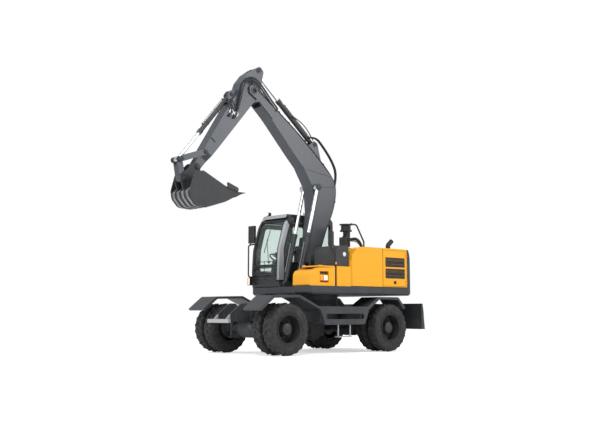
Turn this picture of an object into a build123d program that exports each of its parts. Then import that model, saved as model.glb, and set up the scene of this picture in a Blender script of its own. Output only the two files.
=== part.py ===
from build123d import *
from math import atan2, cos, degrees, hypot, radians, sin, tan
import os

os.makedirs("parts", exist_ok=True)

# Wheeled excavator with twin tyres, a raised boom and a dozer blade, in millimetres.
# +X is forward, +Y is the machine's left, +Z is up, and the ground is at Z = 0.
# The origin is on the ground, under the middle of the whole machine.

# Driving dimensions of the undercarriage
axle_mid_x = -378.0          # middle between the axles
wheelbase = 2860.0
tyre_radius = 510.0          # to the lugs' tips
tyre_width = 255.0
twin_spacing = 325.0         # middle of the inner tyre to middle of the outer one
track_half = 944.5           # middle of a twin wheel
rim_radius = 285.0
rim_wall = 14.0
lug_height = 28.0
lug_count = 14               # lugs on each half of a tread
hub_radius = 150.0
spindle_radius = 60.0
bulge_radius = 185.0         # middle of an axle
kingpin_y = 560.0
kingpin_radius = 32.0
frame_half = 280.0           # half the width of the chassis box
step_half = 340.0            # half the length of the front step's bar
frame_bottom = 560.0
frame_top = 900.0
skirt_outer_y = 1165.0
skirt_inner_y = 1105.0
fender_inner_y = 640.0
slew_offset = -320.0         # slew centre from the middle between the axles
deck_bottom = 1195.0
deck_top = 1360.0
half_width = 1235.0
fit = 0.3                    # gap between pieces that seat on each other
pin_fit = 0.1                # radial gap of a pin in its bore
run_gap = 6.0                # gap beside a moving piece

front_x = axle_mid_x + wheelbase / 2
rear_x = axle_mid_x - wheelbase / 2
slew_x = axle_mid_x + slew_offset
axle_z = tyre_radius

# Driving dimensions of the working gear
foot = (slew_x + 125, 1940.0)                        # boom foot pin (x, z)
boom_tip = (foot[0] + 1670, foot[1] + 3430)          # arm pivot
boom_half = 150.0
fork_half = 165.0
arm_half = 128.0
arm_pitch = -52.0                                    # direction from the arm's pivot to its nose
arm_length = 2208.0
nose_half = 80.0
bucket_half = 340.0
bucket_wall = 22.0
boom_cylinder_y = 215.0
boom_base = (slew_x + 610, 1410.0 + 30)
boom_eye = (foot[0] - 40, foot[1] + 1575)
arm_base = (foot[0] - 95, foot[1] + 2535)

# Driving dimensions of the superstructure, measured from the slew centre
tail = -1955.0                # rear end of the deck
cab_outer_y = -1205.0
cab_inner_y = -290.0
cab_front = 740.0
cab_rear = -900.0
cab_wall = 45.0
hood_top = 2200.0
hood_half = 1150.0
box_top = 1765.0
hood_rear = -1735.0

# Hinges of the doors and lids
hinge_pin = 6.0
hinge_barrel = 11.0
hinge_half = 34.0            # length of one half
leaf_wall = 7.0
leaf_sink = 1.0              # how far a leaf is let into its sheet
hinge_lift = hinge_barrel + 1.0   # pin's middle above the sheet
door_gap = 7.0               # gap round a door or lid


def arm_point(along, out):
    # a point given along the arm and square to it, towards its back
    turn = radians(arm_pitch)
    x = boom_tip[0] + along * cos(turn) - out * sin(turn)
    z = boom_tip[1] + along * sin(turn) + out * cos(turn)
    return (x, z)


arm_tail = arm_point(-448, 166)
nose = arm_point(arm_length, 0)
bucket_base = arm_point(445, 318)
rocker_pin = arm_point(1863, 61)
link_top = arm_point(2355, 375)
link_foot = (nose[0] + 315, nose[1] - 260)


def side_plane(y, origin=(0.0, 0.0), turn=0.0):
    # local x is forward, turned up by an angle, local y is square to it, and it faces the machine's right
    forward = (cos(radians(turn)), 0, sin(radians(turn)))
    return Plane(origin=(origin[0], y, origin[1]), x_dir=forward, z_dir=(0, -1, 0))


def corner_radii(outline):
    # each corner's radius, limited so that its arc fits on the sides beside it
    radii = []
    for i, (x, z, radius) in enumerate(outline):
        before = outline[i - 1]
        after = outline[(i + 1) % len(outline)]
        arriving = Vector(x - before[0], z - before[1])
        leaving = Vector(after[0] - x, after[1] - z)
        half_turn = radians(arriving.get_angle(leaving)) / 2
        room = 0.49 * min(arriving.length, leaving.length)
        radii.append(min(radius, room / tan(half_turn)) if radius and half_turn > 0.001 else 0)
    return radii


def slab(outline, y_low, y_high, origin=(0.0, 0.0), mode=Mode.ADD, turn=0.0, grow=0.0):
    # outline rows are x, z, corner radius; the whole outline can be grown or drawn in
    with BuildSketch(side_plane(y_high, origin, turn)) as profile:
        with BuildLine():
            FilletPolyline(*[(x, z) for x, z, r in outline], radius=corner_radii(outline), close=True)
        make_face()
        if grow:
            offset(amount=grow, kind=Kind.INTERSECTION)
    extrude(profile.sketch, amount=y_high - y_low, mode=mode)


def twin_slabs(outline, y_low, y_high, origin=(0.0, 0.0), mode=Mode.ADD, turn=0.0):
    # the same slab on the left and on the right
    slab(outline, y_low, y_high, origin, mode, turn)
    slab(outline, -y_high, -y_low, origin, mode, turn)


def cross_tube(point, radius, y_low, y_high, mode=Mode.ADD):
    # a round bar or hole across the machine
    with BuildSketch(side_plane(y_high, point)) as profile:
        Circle(radius)
    extrude(profile.sketch, amount=y_high - y_low, mode=mode)


def block(x_low, x_high, y_low, y_high, z_low, z_high, mode=Mode.ADD):
    centre = ((x_low + x_high) / 2, (y_low + y_high) / 2, (z_low + z_high) / 2)
    with Locations(centre):
        Box(x_high - x_low, y_high - y_low, z_high - z_low, mode=mode)


def twin_tubes(point, radius, y_low, y_high, mode=Mode.ADD):
    # the same round bar or hole on the left and on the right
    cross_tube(point, radius, y_low, y_high, mode)
    cross_tube(point, radius, -y_high, -y_low, mode)


def bar(start, end, radius, mode=Mode.ADD):
    # a round bar between two points
    run = Vector(*end) - Vector(*start)
    with BuildSketch(Plane(origin=start, z_dir=run)) as profile:
        Circle(radius)
    extrude(profile.sketch, amount=run.length, mode=mode)


def tube_run(points, radius, bend):
    # a bent tube through the points
    with BuildLine() as route:
        FilletPolyline(*points, radius=bend)
    with BuildSketch(Plane(origin=route.line @ 0, z_dir=route.line % 0)) as profile:
        Circle(radius)
    sweep(profile.sketch, path=route.line)


def towards(start, end, distance):
    # the point at a distance from the start of a line in the side view
    length = hypot(end[0] - start[0], end[1] - start[1])
    share = distance / length
    return (start[0] + (end[0] - start[0]) * share, start[1] + (end[1] - start[1]) * share)


def hinge_leaf(point, to_sheet, outward, fixed, reach=30.0):
    # half of a hinge on a sheet; the fixed half carries the pin that runs through both
    place = Plane(origin=point, x_dir=to_sheet, z_dir=Vector(*to_sheet).cross(Vector(*outward))).location
    middle = (run_gap + hinge_half) / 2
    with Locations(place * Location((0, 0, middle))):
        Cylinder(hinge_barrel, hinge_half)
    with Locations(place * Location((reach / 2, (leaf_wall - leaf_sink) / 2 - hinge_lift, middle))):
        Box(reach, leaf_wall + leaf_sink, hinge_half)
    with Locations(place):
        if fixed:
            Cylinder(hinge_pin, 2 * hinge_half + run_gap)
        else:
            Cylinder(hinge_pin + pin_fit, 3 * hinge_half, mode=Mode.SUBTRACT)


def save(part, name):
    part.label = name
    export_step(part, "parts/" + name + ".step")


# Tyres: a carcass turned from its section, with staggered lugs
half_tread = tyre_width / 2 - 22
bead_half = tyre_width / 2 - 24
tread_radius = tyre_radius - lug_height
lug_depth = 60.0
lug_length = 62.0
lug_across = 96.0
lug_skew = 22.0
lug_reach = lug_length / 2 * cos(radians(lug_skew)) + lug_across / 2 * sin(radians(lug_skew))
lug_top = (tyre_radius ** 2 - lug_reach ** 2) ** 0.5


def tyre(centre_y):
    with BuildSketch(Plane.XY) as section:
        with BuildLine():
            Polyline(
                (rim_radius + fit, centre_y - bead_half),
                (rim_radius + 120, centre_y - tyre_width / 2),
                (tread_radius, centre_y - half_tread),
                (tread_radius, centre_y + half_tread),
                (rim_radius + 120, centre_y + tyre_width / 2),
                (rim_radius + fit, centre_y + bead_half),
                close=True,
            )
        make_face()
    revolve(section.sketch, axis=Axis.Y)
    for side in (-1, 1):
        lug_y = centre_y + side * (half_tread - lug_across / 2 + 4)
        for i in range(lug_count):
            turn = 360 / lug_count * (i + (0.25 if side > 0 else -0.25))
            spot = Plane(
                origin=(
                    (lug_top - lug_depth / 2) * cos(radians(turn)),
                    lug_y,
                    (lug_top - lug_depth / 2) * sin(radians(turn)),
                ),
                x_dir=(0, 1, 0),
                z_dir=(cos(radians(turn)), 0, sin(radians(turn))),
            )
            with Locations(spot.location * Rotation(0, 0, side * lug_skew)):
                Box(lug_across, lug_length, lug_depth)


with BuildPart() as twin_tyres:
    tyre(track_half - twin_spacing / 2)
    tyre(track_half + twin_spacing / 2)

# Rims: two deep dishes back to back on one hub
rim_half = tyre_width / 2 - 15.5
disc_wall = 14.0
disc_y = track_half - 17.5   # inner face of the discs that the two rims share
drum_inner_y = 690.0
hub_flange_radius = hub_radius + 30
cap_depth = 42.0             # hub's cap behind the outer rim's edge
with BuildPart() as twin_rim:
    with BuildSketch(Plane.XY):
        with BuildLine():
            outer = track_half + twin_spacing / 2 + rim_half
            inner = track_half - twin_spacing / 2 - rim_half
            Polyline(
                (spindle_radius + pin_fit, drum_inner_y),
                (hub_flange_radius, drum_inner_y),
                (hub_flange_radius, disc_y - disc_wall),
                (rim_radius - 42, disc_y - disc_wall),
                (rim_radius - rim_wall, disc_y - disc_wall - 26),
                (rim_radius - rim_wall, inner),
                (rim_radius, inner),
                (rim_radius, outer),
                (rim_radius - rim_wall, outer),
                (rim_radius - rim_wall, disc_y + disc_wall * 2 + 26),
                (rim_radius - 42, disc_y + disc_wall * 2),
                (hub_radius, disc_y + disc_wall * 2),
                (hub_radius - 22, outer - 130),
                (hub_radius - 40, outer - cap_depth - 18),
                (60, outer - cap_depth),
                (0, outer - cap_depth),
                (0, disc_y + disc_wall),
                (spindle_radius + pin_fit, disc_y + disc_wall),
                close=True,
            )
        make_face()
    revolve(axis=Axis.Y)

for name, x, side in (
    ("front_left", front_x, 1),
    ("front_right", front_x, -1),
    ("rear_left", rear_x, 1),
    ("rear_right", rear_x, -1),
):
    for piece, source in (("tyres_", twin_tyres), ("rims_", twin_rim)):
        with BuildPart() as placed:
            if side > 0:
                add(source.part.moved(Location((x, 0, axle_z))))
            else:
                add(source.part.rotate(Axis.Z, 180).moved(Location((x, 0, axle_z))))
        save(placed.part, piece + name)

# Chassis frame: a deep box with a round tower for the turret, open over both axles
tower_radius = 500.0
tower_foot_radius = 560.0
tower_shoulder = 860.0
tower_top = 1090.0
frame_front = wheelbase / 2 + 170
frame_rear = -wheelbase / 2 - 130
frame_tail = frame_rear - 330
raised_bottom = frame_bottom + 130
socket_half = 400.0
with BuildPart() as chassis_frame:
    slab(
        (
            (frame_front, 640, 40), (frame_front, frame_top, 60), (900, frame_top, 0), (-900, frame_top, 0),
            (frame_rear + 300, frame_top, 90), (frame_tail, 760, 60), (frame_tail, 440, 40),
            (frame_rear - 150, 420, 60), (frame_rear + 330, raised_bottom, 60), (-850, raised_bottom, 60),
            (-750, frame_bottom, 60), (700, frame_bottom, 60), (800, raised_bottom, 60),
            (frame_front - 60, raised_bottom, 60),
        ),
        -frame_half, frame_half, (axle_mid_x, 0),
    )
    tower_bottom = frame_bottom + 40
    with Locations((slew_x, 0, (tower_bottom + tower_shoulder) / 2)):
        Cylinder(tower_foot_radius, tower_shoulder - tower_bottom)
    with BuildSketch(Plane((slew_x, 0, tower_shoulder))):
        Circle(tower_foot_radius)
    with BuildSketch(Plane((slew_x, 0, tower_top))):
        Circle(tower_radius)
    loft()
    # sockets that clear the axles
    for x in (front_x, rear_x):
        cross_tube((x, axle_z), bulge_radius + fit, -socket_half, socket_half, Mode.SUBTRACT)
save(chassis_frame.part, "chassis_frame")

# Plates ahead of the front axle, welded to the frame's face, each with an eye for a tie-down
lug_front = wheelbase / 2 + 655
lug_inner = 175.0
lug_outer = 215.0
tie_eye = (wheelbase / 2 + 530, 790.0)
tie_eye_radius = 30.0
with BuildPart() as front_plates:
    twin_slabs(((frame_front + fit, 650, 0), (frame_front + fit, 975, 0), (frame_front + 60, 1010, 60),
                (frame_front + 200, 1010, 90), (lug_front, 800, 60), (lug_front, 690, 40),
                (frame_front + 240, 640, 40)), lug_inner, lug_outer, (axle_mid_x, 0))
    twin_tubes((axle_mid_x + tie_eye[0], tie_eye[1]), tie_eye_radius, lug_inner - 1, lug_outer + 1,
               Mode.SUBTRACT)
save(front_plates.part, "front_plates")

# Outriggers from the frame and its tower to the skirts
outrigger_rows = (tyre_radius + 220 - wheelbase / 2, wheelbase / 2 - tyre_radius - 500)
outrigger_half = 90.0
outrigger_low = 640.0
outrigger_high = 840.0
with BuildPart() as outriggers:
    for side in (-1, 1):
        low, high = sorted((side * (frame_half + fit), side * (skirt_inner_y - fit)))
        for x in outrigger_rows:
            block(axle_mid_x + x - outrigger_half, axle_mid_x + x + outrigger_half, low, high,
                  outrigger_low, outrigger_high)
    with Locations((slew_x, 0, (outrigger_low + outrigger_high) / 2)):
        Cylinder(tower_foot_radius + fit, 2 * (outrigger_high - outrigger_low), mode=Mode.SUBTRACT)
save(outriggers.part, "outriggers")

# Lugs on the frame's tail that carry the blade's links
root_pin_radius = 30.0
root_pin_wall = 32.0
root_pin_back = 40.0         # pins' middle behind the frame's tail
root_rows = (480.0, 690.0)
root_lug_inner = 150.0
root_lug_outer = 270.0
root_x = frame_tail - root_pin_back
lug_back = root_x - root_pin_radius - root_pin_wall
with BuildPart() as blade_lugs:
    twin_slabs(((frame_tail - fit, root_rows[0] - 50, 0), (frame_tail - fit, root_rows[1] + 80, 0),
                (lug_back, root_rows[1] + 62, 60), (lug_back, root_rows[0] - 62, 60)),
               root_lug_inner, root_lug_outer, (axle_mid_x, 0))
    for z in root_rows:
        cross_tube((axle_mid_x + root_x, z), root_pin_radius + pin_fit, -root_lug_outer - 1,
                   root_lug_outer + 1, Mode.SUBTRACT)
save(blade_lugs.part, "blade_lugs")

# Skirts: side panel with a long slot, arched over both wheels as fenders
skirt_bottom = 585.0


def beside_axles(rows):
    # x is given from the nearer axle and becomes x from the middle between the axles
    return tuple((x + way * wheelbase / 2, z, radius) for way, x, z, radius in rows)


skirt_panel = beside_axles((
    (1, 690, 900, 12), (1, 360, 1155, 90), (1, -320, 1172, 90), (1, -830, 950, 60), (-1, 650, 950, 60),
    (-1, 295, 1155, 70), (-1, -310, 1155, 70), (-1, -530, 930, 12), (-1, -485, 895, 12),
    (-1, -285, 1105, 50), (-1, 280, 1105, 50), (-1, 610, 885, 40), (-1, 730, skirt_bottom, 60),
    (1, -1000, skirt_bottom, 60), (1, -870, 885, 40), (1, -300, 1122, 70), (1, 335, 1105, 70),
    (1, 645, 865, 12),
))
front_fender = beside_axles((
    (1, 690, 900, 12), (1, 360, 1155, 90), (1, -320, 1172, 90), (1, -830, 950, 0), (1, -870, 885, 0),
    (1, -300, 1122, 70), (1, 335, 1105, 70), (1, 645, 865, 12),
))
rear_fender = beside_axles((
    (-1, 650, 950, 0), (-1, 295, 1155, 70), (-1, -310, 1155, 70), (-1, -530, 930, 12), (-1, -485, 895, 12),
    (-1, -285, 1105, 50), (-1, 280, 1105, 50), (-1, 610, 885, 0),
))
skirt_shelf = beside_axles(((1, -870, 950, 0), (-1, 690, 950, 0), (-1, 690, 925, 0), (1, -870, 925, 0)))
slot_front = wheelbase / 2 - 1000
slot_rear = 750 - wheelbase / 2
slot_z = 750.0
slot_height = 110.0
for name, side in (("skirt_left", 1), ("skirt_right", -1)):
    with BuildPart() as skirt:
        for outline, y_inner in (
            (skirt_panel, skirt_inner_y),
            (front_fender, fender_inner_y),
            (rear_fender, fender_inner_y),
            (skirt_shelf, 900.0),
        ):
            reach = (y_inner, skirt_outer_y) if side > 0 else (-skirt_outer_y, -y_inner)
            slab(outline, reach[0], reach[1], (axle_mid_x, 0))
        with BuildSketch(side_plane(side * (skirt_outer_y + 10) if side > 0 else -skirt_inner_y + 10,
                                    (axle_mid_x + (slot_front + slot_rear) / 2, slot_z))) as slot:
            SlotOverall(slot_front - slot_rear, slot_height)
        extrude(slot.sketch, amount=skirt_outer_y - skirt_inner_y + 20, mode=Mode.SUBTRACT)
    save(skirt.part, name)

# Axles: a turned beam with a bulge for the differential, and yokes or flanges at its ends
beam_end = 440.0
beam_radius = 95.0
yoke_inner_y = 470.0
yoke_outer_y = 620.0
yoke_reach = 150.0
yoke_wall = 42.0
yoke_plate = 34.0            # upright plate that carries the yoke's two lugs
spindle_end = disc_y + disc_wall - run_gap


def beam():
    with BuildSketch(Plane.XY) as section:
        with BuildLine():
            Polyline(
                (0, -beam_end), (beam_radius, -beam_end), (beam_radius, -beam_end + 60), (bulge_radius, -150),
                (bulge_radius, 150), (beam_radius, beam_end - 60), (beam_radius, beam_end), (0, beam_end),
                close=True,
            )
        make_face()
    revolve(section.sketch, axis=Axis.Y)


with BuildPart() as front_beam:
    beam()
    for side in (-1, 1):
        low, high = sorted((side * (yoke_inner_y - yoke_plate), side * yoke_inner_y))
        block(-100, 100, low, high, -yoke_reach - yoke_wall, yoke_reach + yoke_wall)
        low, high = sorted((side * (yoke_inner_y - yoke_plate), side * yoke_outer_y))
        for z in (-yoke_reach - yoke_wall, yoke_reach):
            block(-80, 80, low, high, z, z + yoke_wall)
            with Locations((0, side * kingpin_y, z + yoke_wall / 2)):
                Cylinder(kingpin_radius + pin_fit, yoke_wall + 2, mode=Mode.SUBTRACT)
save(front_beam.part.moved(Location((front_x, 0, axle_z))), "front_axle")

with BuildPart() as rear_beam:
    beam()
    for side in (-1, 1):
        low, high = sorted((side * (beam_end - 10), side * (drum_inner_y - run_gap)))
        cross_tube((0, 0), beam_radius + 20, low, high)
        low, high = sorted((side * (drum_inner_y - run_gap - 5), side * spindle_end))
        cross_tube((0, 0), spindle_radius, low, high)
save(rear_beam.part.moved(Location((rear_x, 0, axle_z))), "rear_axle")

# Steering knuckles: kingpin, spindle and a steering arm that clears the yoke at full lock
steer_arm_reach = 260.0
steer_arm_half = 20.0
knuckle_radius = 72.0
spindle_root_radius = 108.0
for name, side in (("knuckle_left", 1), ("knuckle_right", -1)):
    with BuildPart() as knuckle:
        with Locations((0, side * kingpin_y, 0)):
            Cylinder(kingpin_radius, 2 * (yoke_reach + yoke_wall) + 16)
            Cylinder(knuckle_radius, 2 * (yoke_reach - run_gap))
        low, high = sorted((side * kingpin_y, side * (drum_inner_y - run_gap)))
        cross_tube((0, 0), spindle_root_radius, low, high)
        low, high = sorted((side * kingpin_y, side * spindle_end))
        cross_tube((0, 0), spindle_radius, low, high)
        low, high = sorted((side * (kingpin_y - 10), side * (kingpin_y + 40)))
        block(-steer_arm_reach, 0, low, high, -steer_arm_half, steer_arm_half)
    save(knuckle.part.moved(Location((front_x, 0, axle_z))), name)

# Drive line: gearbox under the turret and a shaft to each axle
gearbox = (slew_x - 150, slew_x + 230)
gearbox_half = 170.0
gearbox_bottom = 330.0
sump = (slew_x + 40, 400.0, 150.0)   # its middle and radius
shaft_z = 420.0
shaft_radius = 34.0
joint_radius = 62.0
joint_length = 60.0
with BuildPart() as drive_line:
    block(gearbox[0], gearbox[1], -gearbox_half, gearbox_half, gearbox_bottom, frame_bottom - fit)
    cross_tube(sump[:2], sump[2], -gearbox_half + 60, gearbox_half - 60)
    for start, end, way in (
        (gearbox[1], front_x - bulge_radius - 4, 1),
        (gearbox[0], rear_x + bulge_radius + 4, -1),
    ):
        bar((start, 0, shaft_z), (end, 0, axle_z - 20), shaft_radius)
        bar((start, 0, shaft_z), (start + way * joint_length, 0, shaft_z + 2), joint_radius)
save(drive_line.part, "drive_line")

# Slewing ring between the turret tower and the deck
ring_outer = 520.0
ring_inner = 380.0
ring_top = deck_bottom - fit
with BuildPart() as slew_ring:
    with Locations((slew_x, 0, (tower_top + ring_top) / 2)):
        Cylinder(ring_outer, ring_top - tower_top)
        Cylinder(ring_inner, ring_top - tower_top, mode=Mode.SUBTRACT)
save(slew_ring.part, "slew_ring")

# Steps: a bar across the front plates, and one hung under each skirt
bar_x = lug_front + 115
bar_z = 665.0
bar_outline = ((-30, -36, 10), (30, -36, 10), (30, 36, 10), (-30, 36, 10))
bracket_root = lug_front - bar_x + fit
bar_bracket = ((-20, -30, 0), (-20, 30, 0), (bracket_root, 125, 0), (bracket_root, 40, 0))
tread_x = -130.0             # side step's middle, from the middle between the axles
tread_z = 330.0
tread_half = 182.0
tread_wall = 22.0
hanger_offset = 170.0
hanger_half = 12.0
hanger_y = skirt_inner_y + 4
with BuildPart() as steps:
    slab(bar_outline, -step_half, step_half, (axle_mid_x + bar_x, bar_z))
    twin_slabs(bar_bracket, lug_inner, lug_outer, (axle_mid_x + bar_x, bar_z))
    middle = axle_mid_x + tread_x
    for side in (-1, 1):
        for x in (middle - hanger_offset, middle + hanger_offset):
            low, high = sorted((side * hanger_y, side * (hanger_y + 20)))
            block(x - hanger_half, x + hanger_half, low, high, tread_z, skirt_bottom - fit)
        low, high = sorted((side * (skirt_inner_y - 70), side * (skirt_outer_y - 5)))
        block(middle - tread_half, middle + tread_half, low, high, tread_z, tread_z + tread_wall)
save(steps.part, "steps")

# Dozer blade on parallel links behind the rear axle
blade_link = 480.0
blade_raise = 33.0
link_root = [(axle_mid_x + root_x, z) for z in root_rows]
link_run = (-blade_link * cos(radians(blade_raise)), blade_link * sin(radians(blade_raise)))
link_end = [(x + link_run[0], z + link_run[1]) for x, z in link_root]
blade_bottom = 465.0
blade_height = 560.0
blade_face_x = link_end[0][0] - 110
blade_arm_inner = 286.0
blade_arm_outer = 336.0
blade_lug_wall = 18.0
blade_lug = ((-140, -62, 0), (18, -62, 40), (58, 0, 40), (18, 62, 40), (-140, 62, 0))
end_pin_radius = 26.0


def blade_link_bar(low, high, thick, y_low, y_high):
    along = (high[0] - low[0], 0, high[1] - low[1])
    plane = Plane(origin=(low[0], y_high, low[1]), x_dir=along, z_dir=(0, -1, 0))
    with BuildSketch(plane) as profile:
        with Locations((blade_link / 2, 0)):
            SlotCenterToCenter(blade_link, thick)
    extrude(profile.sketch, amount=y_high - y_low)


for name, row, thick in (("blade_arms", 0, 110), ("blade_links", 1, 80)):
    with BuildPart() as links:
        for side in (-1, 1):
            low, high = sorted((side * blade_arm_inner, side * blade_arm_outer))
            blade_link_bar(link_root[row], link_end[row], thick, low, high)
        if row == 0:
            mid = ((link_root[0][0] + link_end[0][0]) / 2, (link_root[0][1] + link_end[0][1]) / 2)
            cross_tube(mid, 45, -blade_arm_inner, blade_arm_inner)
        cross_tube(link_root[row], root_pin_radius, -blade_arm_outer, blade_arm_outer)
        cross_tube(link_end[row], end_pin_radius + pin_fit, -half_width, half_width, Mode.SUBTRACT)
    save(links.part, name)

with BuildPart() as blade:
    # the mouldboard is a curved plate with ends and a cutting edge
    with BuildSketch(side_plane(half_width, (blade_face_x, blade_bottom))) as profile:
        with BuildLine():
            Polyline((-70, 0), (20, 0), (20, 60))
            ThreePointArc((20, 60), (-22, 300), (20, blade_height))
            Polyline((20, blade_height), (-4, blade_height))
            ThreePointArc((-4, blade_height), (-48, 300), (-30, 70))
            Polyline((-30, 70), (-70, 0))
        make_face()
    extrude(profile.sketch, amount=2 * half_width)
    for side in (-1, 1):
        low, high = sorted((side * (half_width - 16), side * half_width))
        slab(((-80, 0, 0), (30, 0, 0), (30, blade_height, 0), (-14, blade_height, 30)), low, high,
             (blade_face_x, blade_bottom))
    for pin_row in link_end:
        for side in (-1, 1):
            for y in (blade_arm_inner - run_gap - blade_lug_wall, blade_arm_outer + run_gap):
                low, high = sorted((side * y, side * (y + blade_lug_wall)))
                slab(blade_lug, low, high, pin_row)
            low, high = sorted((side * (blade_arm_inner - run_gap - blade_lug_wall),
                                side * (blade_arm_outer + run_gap + blade_lug_wall)))
            cross_tube(pin_row, end_pin_radius, low, high)
save(blade.part, "blade")

# Deck: the turntable plate with a round tail, boom bracket and cylinder lugs
def upper(x):
    # a distance ahead of the slew centre, given along the machine
    return slew_x + x


boom_plate_inner = boom_half + run_gap
boom_plate_wall = 40.0
boom_plate_outer = boom_plate_inner + boom_plate_wall
plate_rear = -330.0
boom_plate = (
    (plate_rear, deck_top, 0), (plate_rear, 1800, 60), (-40, foot[1] + 130, 100), (235, foot[1] + 130, 100),
    (300, 1760, 60), (430, 1520, 60), (480, deck_top, 0),
)
foot_pin = 50.0
base_eye_half = 38.0
base_lug_wall = 24.0
base_pin = 38.0


def deck_plan():
    # the deck seen from above: square shoulders, a round tail and stepped front
    corners = (
        (tail, -hood_half - 70, 230), (cab_front - 60, -hood_half - 70, 0),
        (cab_front + 20, -hood_half + 10, 0), (cab_front + 20, cab_inner_y, 0), (900, -240, 0), (900, 420, 0),
        (1100, 560, 0), (1185, 700, 0), (1185, hood_half - 60, 0), (1110, hood_half + 15, 0),
        (tail, hood_half + 15, 230),
    )
    with BuildLine() as edge:
        FilletPolyline(*[(upper(x), y) for x, y, r in corners], radius=[r for x, y, r in corners], close=True)
    make_face(edge.line)


with BuildPart() as deck:
    with BuildSketch(Plane.XY.offset(deck_bottom)) as plan:
        deck_plan()
    extrude(plan.sketch, amount=deck_top - deck_bottom)
    chamfer(deck.faces().sort_by(Axis.Z)[0].edges(), 38)
    twin_slabs(boom_plate, boom_plate_inner, boom_plate_outer, (slew_x, 0))
    block(upper(plate_rear), upper(plate_rear + 30), -boom_plate_inner, boom_plate_inner, deck_top, 1640)
    twin_tubes(foot, 95, boom_plate_outer, boom_plate_outer + 22)
    cross_tube(foot, foot_pin, -boom_plate_outer, boom_plate_outer)
    for inner in (boom_cylinder_y - base_eye_half - run_gap - base_lug_wall,
                  boom_cylinder_y + base_eye_half + run_gap):
        twin_slabs(((-130, deck_top - boom_base[1], 0), (-95, 0, 60), (0, 88, 80), (95, 0, 60),
                    (130, deck_top - boom_base[1], 0)), inner, inner + base_lug_wall, boom_base)
    for side in (-1, 1):
        low, high = sorted((side * (boom_cylinder_y - base_eye_half - run_gap - 8),
                            side * (boom_cylinder_y + base_eye_half + run_gap + 8)))
        cross_tube(boom_base, base_pin, low, high)
save(deck.part, "deck")

# Counterweight: the tail's upright casting behind the hood
with BuildPart() as counterweight:
    slab(((hood_rear - fit, deck_top, 0), (tail + 8, deck_top, 0), (tail + 30, 1520, 200),
          (tail + 95, 2020, 300), (tail + 180, hood_top - 8, 120), (hood_rear - fit, hood_top - 4, 0)),
         -hood_half, hood_half, (slew_x, 0))
    with BuildSketch(Plane.XY.offset(deck_top)) as plan:
        with Locations((upper(tail + 8 + 1000), 0)):
            RectangleRounded(2000, 2 * hood_half, 190)
    extrude(plan.sketch, amount=hood_top - deck_top, mode=Mode.INTERSECT)
save(counterweight.part, "counterweight")

# Hood: yellow sheet over the engine, with a full width rear part and a part beside the boom
hood_wall = 40.0
hood_step = -960.0           # where the full width part begins, behind the cab
hood_inner_y = 430.0
hood_outline = (
    (20, deck_top, 0), (20, hood_top, 400), (hood_rear, hood_top, 30), (hood_rear, deck_top, 0),
)
door_front = -960.0
door_rear = -1700.0
door_low = 1385.0
door_high = 2165.0
lid_front = -1010.0
lid_rear = -1690.0
lid_half = 520.0
door_pin_x = slew_x + door_rear + door_gap / 2
lid_pin_x = slew_x + lid_rear + door_gap / 2
door_hinges = (1480.0, 2070.0)
lid_hinges = (-360.0, 360.0)


def grille(x_low, x_high, z_low, z_high, y_low, y_high):
    # a framed opening with slanted slats
    block(x_low, x_high, y_low, y_high, z_low, z_high, Mode.SUBTRACT)
    slats = 5
    pitch = (z_high - z_low) / slats
    for i in range(slats):
        z = z_low + pitch * (i + 0.5)
        slab(((x_low - 2, z - 12, 0), (x_low - 2, z + 4, 0), (x_high + 2, z + 4, 0), (x_high + 2, z - 12, 0)),
             y_low + 4, y_high - 8)


with BuildPart() as hood:
    slab(hood_outline, hood_inner_y, hood_half, (slew_x, 0))
    slab(((hood_step, deck_top, 0), (hood_step, hood_top, 60), (hood_rear, hood_top, 30),
          (hood_rear, deck_top, 0)), -hood_half, hood_inner_y, (slew_x, 0))
    # the engine bay is open inside
    block(upper(hood_rear + hood_wall), upper(hood_step - hood_wall), -hood_half + hood_wall,
          hood_half - hood_wall, deck_top, hood_top - hood_wall, Mode.SUBTRACT)
    for side in (-1, 1):
        low, high = sorted((side * (hood_half - hood_wall - 1), side * (hood_half + 1)))
        block(upper(door_rear), upper(door_front), low, high, door_low, door_high, Mode.SUBTRACT)
    block(upper(lid_rear), upper(lid_front), -lid_half, lid_half, hood_top - hood_wall - 1, hood_top + 1,
          Mode.SUBTRACT)
    for z in door_hinges:
        hinge_leaf((door_pin_x, hood_half + hinge_lift, z), (-1, 0, 0), (0, 1, 0), True)
        hinge_leaf((door_pin_x, -hood_half - hinge_lift, z), (-1, 0, 0), (0, -1, 0), True)
    for y in lid_hinges:
        hinge_leaf((lid_pin_x, y, hood_top + hinge_lift), (-1, 0, 0), (0, 0, 1), True)
save(hood.part, "hood")

# Side doors of the engine bay, hung at their rear edge, with two louvred openings each
grille_rows = ((1570, 1750), (1815, 1990))
latch = (-1370.0, -1300.0, 1440.0, 1500.0)   # rear, front, bottom and top
for name, side in (("side_door_left", 1), ("side_door_right", -1)):
    with BuildPart() as door:
        low, high = sorted((side * (hood_half - hood_wall), side * hood_half))
        block(upper(door_rear + door_gap), upper(door_front - door_gap), low, high, door_low + door_gap,
              door_high - door_gap)
        for z_low, z_high in grille_rows:
            grille(upper(door_rear + 60), upper(door_front - 90), z_low, z_high, low, high)
        low, high = sorted((side * (hood_half - 2), side * (hood_half + 8)))
        block(upper(latch[0]), upper(latch[1]), low, high, latch[2], latch[3])
        for z in door_hinges:
            hinge_leaf((door_pin_x, side * (hood_half + hinge_lift), z), (1, 0, 0), (0, side, 0), False)
    save(door.part, name)

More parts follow.
